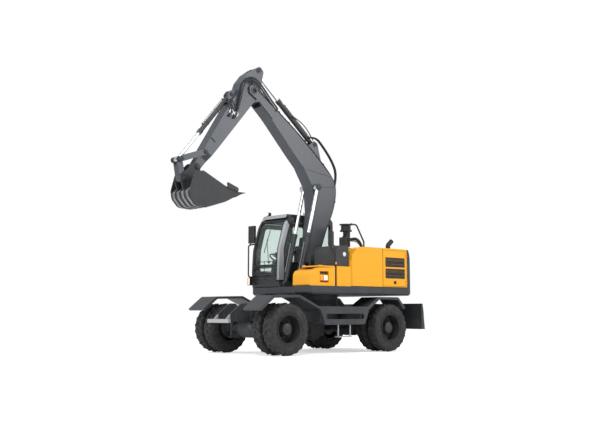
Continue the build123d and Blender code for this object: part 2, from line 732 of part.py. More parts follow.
# Hood lid over the engine
with BuildPart() as hood_lid:
    block(upper(lid_rear + door_gap), upper(lid_front - door_gap), -lid_half + door_gap, lid_half - door_gap,
          hood_top - hood_wall + 10, hood_top)
    block(upper(lid_rear + 60), upper(lid_front - 60), -lid_half + 80, lid_half - 80, hood_top, hood_top + 14)
    for y in lid_hinges:
        hinge_leaf((lid_pin_x, y, hood_top + hinge_lift), (1, 0, 0), (0, 0, 1), False)
save(hood_lid.part, "hood_lid")

# Engine block inside the hood
engine_top = 2060.0
with BuildPart() as engine:
    block(upper(-1600), upper(-1080), -560, 480, deck_top, engine_top)
save(engine.part, "engine")

# Dark tank beside the boom, ahead of the hood's round shoulder
tank_front = 385.0
tank_rear = 26.0
with BuildPart() as side_tank:
    slab(((tank_front, deck_top, 0), (tank_front, hood_top, 130), (tank_rear, hood_top, 0),
          (tank_rear, deck_top, 0)), hood_inner_y + 20, hood_half - 50 - fit, (slew_x, 0))
    with Locations((upper(200), 800, hood_top - 10)):
        Cylinder(60, 60)
save(side_tank.part, "side_tank")

# Yellow cover plate in front of the tank's lower half
with BuildPart() as tank_cover:
    slab(((tank_front + 28, deck_top, 0), (tank_front + 28, box_top, 20), (tank_rear, box_top, 0),
          (tank_rear, deck_top, 0)), hood_half - 50, hood_half, (slew_x, 0))
save(tank_cover.part, "tank_cover")

# Tool box with a lamp recess and a hinged lid
box_front = 1170.0
box_rear = 470.0
box_inner = 640.0
lid_wall = 26.0
box_hinges = (560.0, 840.0)
recess = (640.0, 890.0, 1425.0, 1650.0)    # lamp recess: rear, front, bottom and top
recess_depth = 60.0
lamp_blocks = ((660.0, 765.0), (785.0, 860.0))
lamp_bottom = 1470.0
lamp_top = 1570.0
lamp_setback = 20.0
box_pin = (box_inner - hinge_lift, box_top + hinge_lift)
with BuildPart() as tool_box:
    slab(((box_front - 10, deck_top, 30), (box_front - 20, 1640, 120),
          (box_front - 240, box_top - lid_wall - 20, 200), (box_rear, box_top - lid_wall - fit, 0),
          (box_rear, deck_top, 0)), box_inner, hood_half, (slew_x, 0))
    slab(((box_front - 80, deck_top + 30, 20), (box_front - 90, 1610, 90), (box_front - 250, box_top + 60, 0),
          (box_rear + 30, box_top + 60, 0), (box_rear + 30, deck_top + 30, 20)),
         box_inner + 30, hood_half - 90, (slew_x, 0), Mode.SUBTRACT)
    block(upper(recess[0]), upper(recess[1]), hood_half - recess_depth, hood_half + 1, recess[2], recess[3],
          Mode.SUBTRACT)
    for rear, front in lamp_blocks:
        block(upper(rear), upper(front), hood_half - recess_depth, hood_half - lamp_setback,
              lamp_bottom, lamp_top)
    for x in box_hinges:
        hinge_leaf((upper(x), *box_pin), (0, 0, -1), (0, -1, 0), True, 90.0)
save(tool_box.part, "tool_box")

with BuildPart() as tool_lid:
    slab(((box_front - 260, box_top - lid_wall, 0), (box_front - 260, box_top, 20),
          (box_rear + 4, box_top, 0), (box_rear + 4, box_top - lid_wall, 0)),
         box_inner + 4, hood_half - 4, (slew_x, 0))
    with Locations((upper((box_rear + box_front) / 2), hood_half - 60, box_top + 5)):
        Box(90, 20, 12)
    for x in box_hinges:
        hinge_leaf((upper(x), *box_pin), (0, 1, 0), (0, 0, 1), False, 60.0)
save(tool_lid.part, "tool_lid")

# Air intake with its filter pot and the bent exhaust pipe, on the hood
intake = (upper(-436), 560.0)
filter_pot = (upper(-300), 620.0)
stack_foot = hood_top + fit
intake_rows = ((stack_foot, 2560, 62), (2560, 2590, 130), (2590, 2700, 105), (2700, 2720, 140))
exhaust_x = upper(-1560)
exhaust_y = 750.0
exhaust_radius = 52.0
with BuildPart() as hood_stacks:
    for z_low, z_high, radius in intake_rows:
        bar((*intake, z_low), (*intake, z_high), radius)
    bar((*filter_pot, stack_foot), (*filter_pot, 2420), 90)
    bar((*filter_pot, 2380), (*intake, 2480), 50)
    tube_run(((exhaust_x, exhaust_y, stack_foot), (exhaust_x, exhaust_y, hood_top + 110),
              (exhaust_x - 120, exhaust_y, hood_top + 210)), exhaust_radius, 70)
    bar((exhaust_x, exhaust_y, stack_foot), (exhaust_x, exhaust_y, stack_foot + 12), exhaust_radius + 28)
save(hood_stacks.part, "hood_stacks")

# Rails: the loop on the hood and the post between the boxes, with the left mirror on its bent arm
post_x = 438.0
post_y = 1128.0
mirror_x = 612.0
mirror_y = 1184.0
mirror_size = (70.0, 98.0, 290.0)
loop_y = 900.0
with BuildPart() as hand_rails:
    tube_run(((upper(-200), loop_y, hood_top + fit), (upper(-200), loop_y, 2690), (upper(-414), loop_y, 2676),
              (upper(-635), loop_y, 2330), (upper(-635), loop_y, hood_top + fit)), 17, 50)
    bar((upper(post_x), post_y, deck_top + fit), (upper(post_x), post_y, 1880), 20)
    tube_run(((upper(post_x), post_y, 1850), (upper(post_x + 6), post_y + 2, 2000), (upper(520), 1160, 2070),
              (upper(mirror_x), mirror_y, 2110), (upper(mirror_x), mirror_y, 2180)), 16, 30)
    with Locations((upper(mirror_x), mirror_y, 2165 + mirror_size[2] / 2)):
        Box(*mirror_size)
save(hand_rails.part, "hand_rails")

# Cab: hollow shell with its windows and its door opening cut, on the right of the boom
cab_side = (
    (cab_rear, deck_top, 0), (cab_front - 20, deck_top, 30), (cab_front, 1700, 300), (710, 2180, 400),
    (565, 2690, 200), (455, 2880, 90), (cab_rear + 40, 2905, 80),
)
door_outline = (
    (-330, deck_top + 60, 40), (600, deck_top + 60, 60), (640, 1700, 100), (612, 2180, 300),
    (480, 2650, 200), (400, 2800, 90), (-330, 2800, 60),
)
door_pane = (
    (-230, 1720, 40), (530, 1720, 60), (512, 2180, 300), (390, 2630, 160), (330, 2700, 60), (-230, 2700, 60),
)
boom_side_pane = (
    (-300, 1900, 60), (570, 1900, 60), (590, 2180, 200), (450, 2640, 150), (370, 2790, 60), (-300, 2790, 60),
)
rear_side_pane = ((-790, 1900, 60), (-420, 1900, 60), (-420, 2790, 60), (-770, 2790, 60))
screen_rows = ((1610.0, 1800.0), (1850.0, 2800.0))
screen_side = 75.0
rear_window = (110.0, 1950.0, 2760.0)    # side margin, bottom and top
glass_wall = 8.0
glass_depth = 16.0
roof_top = 2950.0
roof_panel = ((500, 2880, 20), (440, roof_top, 30), (cab_rear + 90, roof_top, 30), (cab_rear + 60, 2890, 0))


cab_hinges = (1600.0, 2640.0)
cab_pin_x = slew_x + door_outline[0][0] + door_gap / 2
guard_x = cab_front + 22.0
guard_radius = 7.0
guard_rows = (1500.0, 1570.0, 1640.0, 1710.0, 1780.0, 1850.0, 1920.0)
rail_x = 860.0
rail_y = cab_outer_y + 30.0
rail_z = 1600.0
rail_radius = 16.0
mirror_stub_top = 2340.0


def cab_slab(outline, y_low, y_high, mode=Mode.ADD, grow=0.0):
    slab(outline, y_low, y_high, (slew_x, 0), mode, 0.0, grow)


with BuildPart() as cab_frame:
    cab_slab(cab_side, cab_outer_y, cab_inner_y)
    cab_slab(cab_side, cab_outer_y + cab_wall, cab_inner_y - cab_wall, Mode.SUBTRACT, -cab_wall)
    for outline in (door_outline, rear_side_pane):
        cab_slab(outline, cab_outer_y - 1, cab_outer_y + cab_wall + 1, Mode.SUBTRACT)
    for outline in (boom_side_pane, rear_side_pane):
        cab_slab(outline, cab_inner_y - cab_wall - 1, cab_inner_y + 1, Mode.SUBTRACT)
    for z_low, z_high in screen_rows:
        block(upper(350), upper(900), cab_outer_y + screen_side, cab_inner_y - screen_side, z_low, z_high,
              Mode.SUBTRACT)
    block(upper(cab_rear - 60), upper(cab_rear + 120), cab_outer_y + rear_window[0],
          cab_inner_y - rear_window[0], rear_window[1], rear_window[2], Mode.SUBTRACT)
    cab_slab(roof_panel, cab_outer_y + 60, cab_inner_y - 60)
    for z in cab_hinges:
        hinge_leaf((cab_pin_x, cab_outer_y - hinge_lift, z), (-1, 0, 0), (0, -1, 0), True)
    # guard bars over the lower windscreen
    for z in guard_rows:
        bar((upper(guard_x), cab_outer_y + 50, z), (upper(guard_x), cab_inner_y - 50, z), guard_radius)
    for y in (cab_outer_y + 60, (cab_outer_y + cab_inner_y) / 2, cab_inner_y - 60):
        bar((upper(guard_x), y, guard_rows[0] - 20), (upper(guard_x), y, guard_rows[-1] + 20), guard_radius)
    for y in (cab_outer_y + 60, cab_inner_y - 60):
        for z in (guard_rows[0], guard_rows[-1]):
            bar((upper(cab_front - 30), y, z), (upper(guard_x), y, z), guard_radius)
    # grab rail at the far corner, which also carries the mirror and the lamp
    tube_run(((upper(cab_front - 30), rail_y, rail_z), (upper(rail_x), rail_y, rail_z),
              (upper(rail_x), rail_y, 2300), (upper(cab_front - 60), rail_y, 2330)), rail_radius, 60)
    bar((upper(rail_x - 50), rail_y, 2290), (upper(rail_x - 50), rail_y, mirror_stub_top), 12)
save(cab_frame.part, "cab_frame")

# Panes, each seated in its opening
with BuildPart() as cab_glass:
    cab_slab(cab_side, cab_outer_y + screen_side + fit, cab_inner_y - screen_side - fit, grow=-glass_depth)
    cab_slab(cab_side, cab_outer_y, cab_inner_y, Mode.SUBTRACT, -glass_depth - glass_wall)
    block(upper(cab_rear - 50), upper(300), cab_outer_y, cab_inner_y, deck_top, 3000, Mode.SUBTRACT)
    bounds = (deck_top, screen_rows[0][0] + fit, screen_rows[0][1] - fit, screen_rows[1][0] + fit,
              screen_rows[1][1] - fit, 3000)
    for z_low, z_high in zip(bounds[::2], bounds[1::2]):
        block(upper(200), upper(900), cab_outer_y, cab_inner_y, z_low, z_high, Mode.SUBTRACT)
    for outline in (boom_side_pane, rear_side_pane):
        cab_slab(outline, cab_inner_y - glass_depth - glass_wall, cab_inner_y - glass_depth, grow=-fit)
    cab_slab(rear_side_pane, cab_outer_y + glass_depth, cab_outer_y + glass_depth + glass_wall, grow=-fit)
    margin = rear_window[0] + fit
    block(upper(cab_rear + 40), upper(cab_rear + 48), cab_outer_y + margin, cab_inner_y - margin,
          rear_window[1] + fit, rear_window[2] - fit)
save(cab_glass.part, "cab_glass")

# Cab door on the outer side, hung at its rear edge
handle = (460.0, 560.0, 1640.0, 1665.0)     # rear, front, bottom and top
with BuildPart() as cab_door:
    cab_slab(door_outline, cab_outer_y, cab_outer_y + cab_wall - 6, grow=-door_gap)
    cab_slab(door_pane, cab_outer_y - 1, cab_outer_y + cab_wall + 1, Mode.SUBTRACT)
    block(upper(handle[0]), upper(handle[1]), cab_outer_y - 22, cab_outer_y + 1, handle[2], handle[3])
    for z in cab_hinges:
        hinge_leaf((cab_pin_x, cab_outer_y - hinge_lift, z), (1, 0, 0), (0, -1, 0), False)
save(cab_door.part, "cab_door")

with BuildPart() as door_glass:
    cab_slab(door_pane, cab_outer_y + glass_depth, cab_outer_y + glass_depth + glass_wall, grow=-fit)
save(door_glass.part, "door_glass")

# Seat and controls on the cab floor
cab_floor = deck_top + cab_wall + fit
seat_y = -745.0
cushion_bottom = 1620.0
cushion_top = 1790.0
cushion_half = 250.0
backrest = ((-400, 1700, 40), (-250, 1700, 40), (-330, 2330, 60), (-450, 2330, 60))
headrest = ((-450, 2300, 0), (-350, 2300, 0), (-380, 2520, 40), (-450, 2520, 40))
with BuildPart() as cab_seat:
    block(upper(-330), upper(150), seat_y - 190, seat_y + 190, cab_floor, cushion_bottom)
    block(upper(-380), upper(200), seat_y - cushion_half, seat_y + cushion_half, cushion_bottom, cushion_top)
    fillet(cab_seat.edges().filter_by(Axis.X).sort_by(Axis.Z)[-2:], 40)
    cab_slab(backrest, seat_y - 230, seat_y + 230)
    cab_slab(headrest, seat_y - 130, seat_y + 130)
save(cab_seat.part, "cab_seat")

console_gap = 12.0           # between the cushion and a console
console_width = 98.0
console_top = 1880.0
column = ((420, cab_floor, 0), (560, cab_floor, 0), (470, 1980, 40), (360, 1960, 40))
wheel_radius = 175.0
with BuildPart() as controls:
    for side in (-1, 1):
        low, high = sorted((seat_y + side * (cushion_half + console_gap),
                            seat_y + side * (cushion_half + console_gap + console_width)))
        middle = (low + high) / 2
        block(upper(-250), upper(180), low, high, cab_floor, console_top)
        bar((upper(120), middle, console_top - 10), (upper(150), middle, 2080), 18)
        bar((upper(148), middle, 2060), (upper(160), middle, 2170), 32)
    cab_slab(column, seat_y - 70, seat_y + 70)
    with Locations(Plane(origin=(upper(390), seat_y, 2010), z_dir=(-0.5, 0, 0.87))):
        Torus(wheel_radius, 16)
        Cylinder(26, 130)
        Box(2 * wheel_radius - 10, 40, 14)
save(controls.part, "controls")

# Mirror on the far grab rail, lamp clusters and work lamps
far_mirror = (72.0, 210.0, 380.0)
cluster_half = 40.0
roof_lamp = (370.0, cab_outer_y + 120.0)     # ahead of the slew centre, and across
with BuildPart() as cab_lamps:
    with Locations((upper(rail_x - 50), rail_y + 60, mirror_stub_top + fit + far_mirror[2] / 2)):
        Box(*far_mirror)
    fillet(cab_lamps.edges().filter_by(Axis.Z), 24)
    block(upper(guard_x + 12), upper(guard_x + 12 + 2 * cluster_half), rail_y - cluster_half,
          rail_y + cluster_half, 1420, rail_z - rail_radius - fit)
    block(upper(roof_lamp[0] - 40), upper(roof_lamp[0] + 40), roof_lamp[1] - 50, roof_lamp[1] + 50,
          roof_top + 25, roof_top + 95)
    lamp_foot = (upper(roof_lamp[0]), roof_lamp[1])
    bar((*lamp_foot, roof_top + fit), (*lamp_foot, roof_top + 30), 12)
save(cab_lamps.part, "cab_lamps")

# Boom: a bent box with a fork at its tip and lugs on its back
fork_inner = arm_half + 8
eye_boss = 75.0
tip_pin = 40.0
fork_clearance = 372.0       # lets the arm's tail swing into the fork
arm_cylinder_half = 50.0
lug_plate = 30.0
boom_outline = (
    (105, -80, 70), (105, 50, 60), (70, 460, 300), (-10, 1060, 300), (35, 1560, 300), (275, 1960, 250),
    (545, 2225, 200), (1173, 2878, 100), (1545, 3230, 100), (1785, 3360, 60), (1800, 3490, 60),
    (1700, 3570, 60), (1590, 3535, 90), (1235, 3230, 100), (525, 2730, 200), (10, 2330, 250),
    (-560, 1840, 150), (-665, 1560, 100), (-555, 1070, 300), (-365, 730, 300), (-155, 140, 200),
    (-95, -80, 70),
)
fork_plate = (
    (1173, 2900, 0), (1545, 3230, 100), (1785, 3360, 60), (1800, 3490, 60), (1700, 3570, 60),
    (1590, 3535, 90), (1235, 3230, 100), (1120, 3130, 0),
)
arm_cylinder_lug = ((-330, 2000, 0), (-170, 2570, 60), (-60, 2620, 60), (20, 2540, 60), (210, 2440, 0))
with BuildPart() as boom:
    slab(boom_outline, -boom_half, boom_half, foot)
    twin_slabs(fork_plate, boom_half - 1, fork_half, foot)
    cross_tube(boom_tip, fork_clearance, -fork_inner, fork_inner, Mode.SUBTRACT)
    twin_tubes(boom_tip, 82, fork_half - 1, fork_half + 12)
    cross_tube(boom_tip, tip_pin, -fork_half - 18, fork_half + 18)
    cross_tube(foot, foot_pin + pin_fit, -boom_half - 1, boom_half + 1, Mode.SUBTRACT)
    twin_tubes(boom_eye, eye_boss, boom_half - 1, boom_half + 19)
    twin_slabs(arm_cylinder_lug, arm_cylinder_half + run_gap, arm_cylinder_half + run_gap + lug_plate, foot)
    cross_tube(arm_base, 35, -arm_cylinder_half - run_gap - 1, arm_cylinder_half + run_gap + 1)
save(boom.part, "boom")

# Arm: drawn along its own line, from the tail past the pivot to the nose
bucket_cylinder_half = 44.0
nose_pin = 35.0
rocker_pin_radius = 28.0
taper_from = 1812.0          # where the arm narrows, clear of the bucket's ears and ahead of the rocker's pin
taper_to = 1975.0
arm_outline = (
    (2208, -85, 80), (1500, -120, 0), (300, -160, 100), (0, -170, 100), (-200, -100, 100), (-520, 60, 60),
    (-545, 190, 60), (-400, 260, 80), (-150, 330, 100), (100, 330, 100), (330, 248, 60), (600, 248, 60),
    (2050, 95, 60), (2295, 82, 80), (2295, -60, 80),
)
arm_plane = Plane(
    origin=(boom_tip[0], 0, boom_tip[1]),
    x_dir=(cos(radians(arm_pitch)), 0, sin(radians(arm_pitch))),
    z_dir=(-sin(radians(arm_pitch)), 0, cos(radians(arm_pitch))),
)
with BuildPart() as arm:
    slab(arm_outline, -arm_half, arm_half, boom_tip, Mode.ADD, arm_pitch)
    with BuildSketch(arm_plane) as plan:
        with BuildLine():
            Polyline((-800, -arm_half), (taper_from, -arm_half), (taper_to, -nose_half), (2500, -nose_half),
                     (2500, nose_half), (taper_to, nose_half), (taper_from, arm_half), (-800, arm_half),
                     close=True)
        make_face()
    extrude(plan.sketch, amount=900, both=True, mode=Mode.INTERSECT)
    twin_slabs(((230, 240, 0), (390, 385, 60), (500, 385, 60), (680, 236, 0)),
               bucket_cylinder_half + run_gap, bucket_cylinder_half + run_gap + lug_plate, boom_tip, Mode.ADD,
               arm_pitch)
    # the tail is two plates with the rod's eye between them
    slab(((-900, -500, 0), (-250, -500, 0), (-250, 600, 0), (-900, 600, 0)), -arm_cylinder_half - 10,
         arm_cylinder_half + 10, boom_tip, Mode.SUBTRACT, arm_pitch)
    cross_tube(boom_tip, tip_pin + pin_fit, -arm_half - 1, arm_half + 1, Mode.SUBTRACT)
    cross_tube(nose, nose_pin + pin_fit, -arm_half - 1, arm_half + 1, Mode.SUBTRACT)
    twin_tubes(arm_tail, 70, arm_half - 1, arm_half + 6)
    cross_tube(bucket_base, 30, -bucket_cylinder_half - run_gap - 1, bucket_cylinder_half + run_gap + 1)
    twin_tubes(rocker_pin, rocker_pin_radius, nose_half, arm_half + 38)
save(arm.part, "arm")

# Bucket linkage: rocker plates beside the arm, and the link down to the bucket
rocker_inner = arm_half + 5
rocker_outer = rocker_inner + 24
link_pin = 30.0
link_slot = bucket_cylinder_half + 6


def link_capsule(start, end, radius, y_low, y_high):
    run = (end[0] - start[0], end[1] - start[1])
    with BuildSketch(side_plane(y_high, start, degrees(atan2(run[1], run[0])))) as profile:
        with Locations((hypot(*run) / 2, 0)):
            SlotCenterToCenter(hypot(*run), 2 * radius)
    extrude(profile.sketch, amount=y_high - y_low)


with BuildPart() as rocker:
    for y_low in (rocker_inner, -rocker_outer):
        link_capsule(rocker_pin, link_top, 56, y_low, y_low + rocker_outer - rocker_inner)
    twin_tubes(link_top, link_pin, link_slot + 2, rocker_inner + 1)
    cross_tube(rocker_pin, rocker_pin_radius + pin_fit, -rocker_outer - 1, rocker_outer + 1, Mode.SUBTRACT)
save(rocker.part, "rocker")

with BuildPart() as link:
    link_capsule(link_top, link_foot, 58, -nose_half, nose_half)
    cross_tube(link_top, 130, -link_slot, link_slot, Mode.SUBTRACT)
    cross_tube(link_top, link_pin + pin_fit, -nose_half - 1, nose_half + 1, Mode.SUBTRACT)
save(link.part, "link")

# Bucket: side plates, a curved back, ears, a lip with teeth and side cutters
ear_inner = nose_half + 6
ear_outer = ear_inner + 29
bucket_side = (
    (7, -101, 60), (145, -116, 60), (221, -134, 40), (315, -463, 150), (285, -620, 120), (145, -769, 150),
    (-102, -787, 150), (-560, -640, 200), (-860, -480, 0), (-860, -450, 0), (-500, -342, 200),
)
bucket_shell = (
    (-40, -124, 20), (60, -292, 60), (225, -415, 90), (312, -500, 60), (285, -620, 120), (145, -769, 150),
    (-102, -787, 150), (-560, -640, 200), (-860, -480, 0), (-860, -450, 0), (-500, -342, 200),
)
bucket_room = (
    (-62, -90, 0), (-62, -134, 20), (40, -308, 60), (207, -436, 80), (288, -512, 50), (263, -610, 100),
    (137, -747, 130), (-98, -765, 130), (-550, -618, 180), (-960, -400, 0), (-960, -90, 0),
)
bucket_ear = (
    (-78, 0, 70), (-30, 84, 80), (90, 70, 60), (385, -205, 60), (380, -300, 60), (310, -500, 0),
    (225, -425, 0), (60, -302, 0), (-50, -134, 40),
)
tooth_count = 5
tooth_width = 74.0
tooth = ((-1027, -440, 0), (-860, -436, 0), (-790, -474, 0), (-780, -540, 0), (-880, -486, 0))
cutter = ((-540, -262, 20), (-800, -352, 20), (-829, -380, 10), (-810, -440, 0), (-560, -380, 0))
with BuildPart() as bucket:
    slab(bucket_shell, -bucket_half + 1, bucket_half - 1, nose)
    slab(bucket_room, -bucket_half + bucket_wall, bucket_half - bucket_wall, nose, Mode.SUBTRACT)
    twin_slabs(bucket_side, bucket_half - bucket_wall, bucket_half, nose)
    twin_slabs(bucket_ear, ear_inner, ear_outer, nose)
    cross_tube(nose, nose_pin, -ear_outer - 10, ear_outer + 10)
    twin_tubes(link_foot, 50, ear_outer - 1, ear_outer + 10)
    for i in range(tooth_count):
        y = (i - (tooth_count - 1) / 2) * (2 * bucket_half - tooth_width) / (tooth_count - 1)
        slab(tooth, y - tooth_width / 2, y + tooth_width / 2, nose)
    twin_slabs(cutter, bucket_half - 1, bucket_half + 16, nose)
save(bucket.part, "bucket")


# Cylinders: barrels with a bored end, and rods that slide in them
def barrel(base, eye, y, length, radius, eye_radius, eye_half, pin_radius, rod_radius, depth):
    neck = towards(base, eye, eye_radius / 2)
    start = towards(base, eye, 2.2 * eye_radius)
    end = towards(base, eye, length)
    collar = towards(base, eye, length - 80)
    bar((neck[0], y, neck[1]), (start[0], y, start[1]), eye_half - 2)
    bar((start[0], y, start[1]), (end[0], y, end[1]), radius)
    bar((collar[0], y, collar[1]), (end[0], y, end[1]), radius + 7)
    cross_tube(base, eye_radius, y - eye_half, y + eye_half)
    cross_tube(base, pin_radius + pin_fit, y - eye_half - 1, y + eye_half + 1, Mode.SUBTRACT)
    bottom = towards(base, eye, length - depth)
    mouth = towards(base, eye, length + 1)
    bar((bottom[0], y, bottom[1]), (mouth[0], y, mouth[1]), rod_radius + fit, Mode.SUBTRACT)


def rod(base, eye, y, length, rod_radius, insertion, eye_radius, eye_half):
    start = towards(base, eye, length - insertion)
    bar((start[0], y, start[1]), (eye[0], y, eye[1]), rod_radius)
    cross_tube(eye, eye_radius, y - eye_half, y + eye_half)


boom_barrel_length = 1100.0
with BuildPart() as boom_barrels:
    for side in (-1, 1):
        barrel(boom_base, boom_eye, side * boom_cylinder_y, boom_barrel_length, 52, 62, base_eye_half,
               base_pin, 38, 640)
save(boom_barrels.part, "boom_barrels")

with BuildPart() as boom_rods:
    for side in (-1, 1):
        rod(boom_base, boom_eye, side * boom_cylinder_y, boom_barrel_length, 38, 180, 74, 38)
save(boom_rods.part, "boom_rods")

arm_barrel_length = 1310.0
with BuildPart() as arm_barrel:
    barrel(arm_base, arm_tail, 0, arm_barrel_length, 55, 66, arm_cylinder_half, 35, 35, 850)
save(arm_barrel.part, "arm_barrel")

with BuildPart() as arm_rod:
    rod(arm_base, arm_tail, 0, arm_barrel_length, 35, 290, 62, arm_cylinder_half - 6)
save(arm_rod.part, "arm_rod")

bucket_barrel_length = 1160.0
with BuildPart() as bucket_barrel:
    barrel(bucket_base, link_top, 0, bucket_barrel_length, 46, 58, bucket_cylinder_half, 30, 30, 810)
save(bucket_barrel.part, "bucket_barrel")

with BuildPart() as bucket_rod:
    rod(bucket_base, link_top, 0, bucket_barrel_length, 30, 190, 58, bucket_cylinder_half)
save(bucket_rod.part, "bucket_rod")
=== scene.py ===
import math

import bpy
import bmesh
from mathutils import Matrix, Vector


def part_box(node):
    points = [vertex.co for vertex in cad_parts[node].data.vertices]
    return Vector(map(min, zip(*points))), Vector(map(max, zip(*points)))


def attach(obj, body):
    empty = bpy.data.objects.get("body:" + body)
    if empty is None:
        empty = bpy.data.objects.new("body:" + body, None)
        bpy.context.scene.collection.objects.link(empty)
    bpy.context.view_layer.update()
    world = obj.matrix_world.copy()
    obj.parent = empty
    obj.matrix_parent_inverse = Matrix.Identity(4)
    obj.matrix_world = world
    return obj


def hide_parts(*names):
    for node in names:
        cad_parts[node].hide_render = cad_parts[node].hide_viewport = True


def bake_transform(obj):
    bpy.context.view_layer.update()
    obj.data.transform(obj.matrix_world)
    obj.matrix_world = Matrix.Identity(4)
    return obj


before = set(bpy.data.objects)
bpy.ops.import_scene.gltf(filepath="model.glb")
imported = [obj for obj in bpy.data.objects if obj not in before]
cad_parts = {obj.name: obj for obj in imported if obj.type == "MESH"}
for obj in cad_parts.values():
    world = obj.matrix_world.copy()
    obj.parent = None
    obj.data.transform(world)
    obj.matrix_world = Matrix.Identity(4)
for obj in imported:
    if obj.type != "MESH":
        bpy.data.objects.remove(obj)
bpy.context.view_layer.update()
print("frame loaded")

# Places shared by several pieces, in metres
machineUser = {
    "axleMidX": -0.378, "wheelbase": 2.860,
    "slewBack": 0.320,  # slewing axis, behind the middle of the axles
    "foot": (0.125, 1.940),  # boom's foot pin, from the slewing axis
    "tip": (1.670, 3.430),  # arm's pin, from the foot pin
    "armPitch": -52, "armLong": 2.208,  # degrees from level, and between the arm's pins
    "hoodHalf": 1.150, "hoodTop": 2.200,
    "cabOuterY": -1.205, "cabInnerY": -0.290,
}
axleMidX = machineUser["axleMidX"]
slewX = axleMidX - machineUser["slewBack"]
axleX = {"front": axleMidX + machineUser["wheelbase"] / 2,
         "rear": axleMidX - machineUser["wheelbase"] / 2}
footPin = Vector((slewX + machineUser["foot"][0], 0, machineUser["foot"][1]))
tipPin = footPin + Vector((machineUser["tip"][0], 0, machineUser["tip"][1]))
armPitch = math.radians(machineUser["armPitch"])
alongArm = Vector((math.cos(armPitch), 0, math.sin(armPitch)))
outOfArm = Vector((-math.sin(armPitch), 0, math.cos(armPitch)))
nosePin = tipPin + alongArm * machineUser["armLong"]
hoodHalf = machineUser["hoodHalf"]
hoodTop = machineUser["hoodTop"]
cabOuterY = machineUser["cabOuterY"]
cabInnerY = machineUser["cabInnerY"]


def onArm(along, out, y):
    return tipPin + alongArm * along + outOfArm * out + Vector((0, y, 0))


def fromFoot(x, z, y):
    return footPin + Vector((x, y, z))


# Helpers for making and finishing pieces
helperUser = {
    "bevelAngle": 30,  # degrees; sharper edges are bevelled
    "weldGap": 0.00005,  # points closer than this are merged
    "hoseRound": 3, "hoseSteps": 8, "tubeRound": 2,  # how finely cords are cut
    "cornerMost": 0.49,  # share of an edge's length that a rounded corner may use
    "starter": 0.1,  # radius of a circle before its points are placed
}


def clearSelection():
    if bpy.context.mode != "OBJECT":
        bpy.ops.object.mode_set(mode="OBJECT")
    bpy.ops.object.select_all(action="DESELECT")


def pick(piece):
    clearSelection()
    piece.select_set(True)
    bpy.context.view_layer.objects.active = piece


def settle(piece):
    pick(piece)
    bpy.ops.object.transform_apply(location=True, rotation=True, scale=True)


def bevelEdges(piece, width, segments=2):
    pick(piece)
    change = piece.modifiers.new("edge", "BEVEL")
    change.width = width
    change.segments = segments
    change.limit_method = "ANGLE"
    change.angle_limit = math.radians(helperUser["bevelAngle"])
    bpy.ops.object.modifier_apply(modifier=change.name)


def smooth(piece, angle=35):
    pick(piece)
    bpy.ops.object.shade_smooth_by_angle(angle=math.radians(angle))


def turnOutwards(piece):
    pick(piece)
    bpy.ops.object.mode_set(mode="EDIT")
    bpy.ops.mesh.select_all(action="SELECT")
    bpy.ops.mesh.remove_doubles(threshold=helperUser["weldGap"])
    bpy.ops.mesh.normals_make_consistent(inside=False)
    bpy.ops.object.mode_set(mode="OBJECT")


def addBlock(low, high, edge=0.004, segments=2):
    low, high = Vector(low), Vector(high)
    clearSelection()
    bpy.ops.mesh.primitive_cube_add(size=1, location=(low + high) / 2, scale=high - low)
    piece = bpy.context.object
    settle(piece)
    bevelEdges(piece, edge, segments)
    return piece


def addRod(start, end, radius, edge=0.0, vertices=24, endRadius=None):
    start, end = Vector(start), Vector(end)
    run = end - start
    clearSelection()
    bpy.ops.mesh.primitive_cone_add(
        vertices=vertices, radius1=radius, radius2=radius if endRadius is None else endRadius,
        depth=run.length, location=(start + end) / 2,
        rotation=run.to_track_quat("Z", "Y").to_euler())
    piece = bpy.context.object
    settle(piece)
    if edge:
        bevelEdges(piece, edge)
    return piece


def addRing(centre, axis, major, minor, majorSegments=40, minorSegments=12):
    clearSelection()
    bpy.ops.mesh.primitive_torus_add(
        major_radius=major, minor_radius=minor,
        major_segments=majorSegments, minor_segments=minorSegments,
        location=centre, rotation=Vector(axis).to_track_quat("Z", "Y").to_euler())
    piece = bpy.context.object
    settle(piece)
    return piece


# Foot, top and radius of a bolt's two parts, as shares of its size
boltUser = {"washer": (-0.20, 0.18, 1.15), "head": (0.12, 0.75, 0.95), "edge": 0.1}


def addBolt(point, axis, size):
    # a hexagon head on a washer, standing on the point
    point, axis = Vector(point), Vector(axis).normalized()
    foot, top, wide = boltUser["washer"]
    washer = addRod(point + axis * size * foot, point + axis * size * top, size * wide, 0, 20)
    foot, top, wide = boltUser["head"]
    head = addRod(point + axis * size * foot, point + axis * size * top, size * wide,
                  size * boltUser["edge"], 6)
    return joinAll([washer, head])


def addCord(points, radius, roundness, kind):
    # a round curve through the points, picked so that it can be made a mesh
    clearSelection()
    curve = bpy.data.curves.new("cord", "CURVE")
    curve.dimensions = "3D"
    curve.bevel_depth = radius
    curve.bevel_resolution = roundness
    curve.use_fill_caps = True
    spline = curve.splines.new(kind)
    spline.points.add(len(points) - 1)
    for spot, place in zip(spline.points, points):
        spot.co = (*place, 1)
    piece = bpy.data.objects.new("cord", curve)
    bpy.context.collection.objects.link(piece)
    pick(piece)
    return spline


def addHose(points, radius):
    # a smooth tube whose line is drawn towards each point
    spline = addCord(points, radius, helperUser["hoseRound"], "NURBS")
    spline.order_u = 3
    spline.use_endpoint_u = True
    spline.resolution_u = helperUser["hoseSteps"]
    bpy.ops.object.convert(target="MESH")
    return bpy.context.object


def addTube(points, radius, closed=False):
    # a round strip that follows the points from one to the next
    spline = addCord(points, radius, helperUser["tubeRound"], "POLY")
    spline.use_cyclic_u = closed
    bpy.ops.object.convert(target="MESH")
    return bpy.context.object


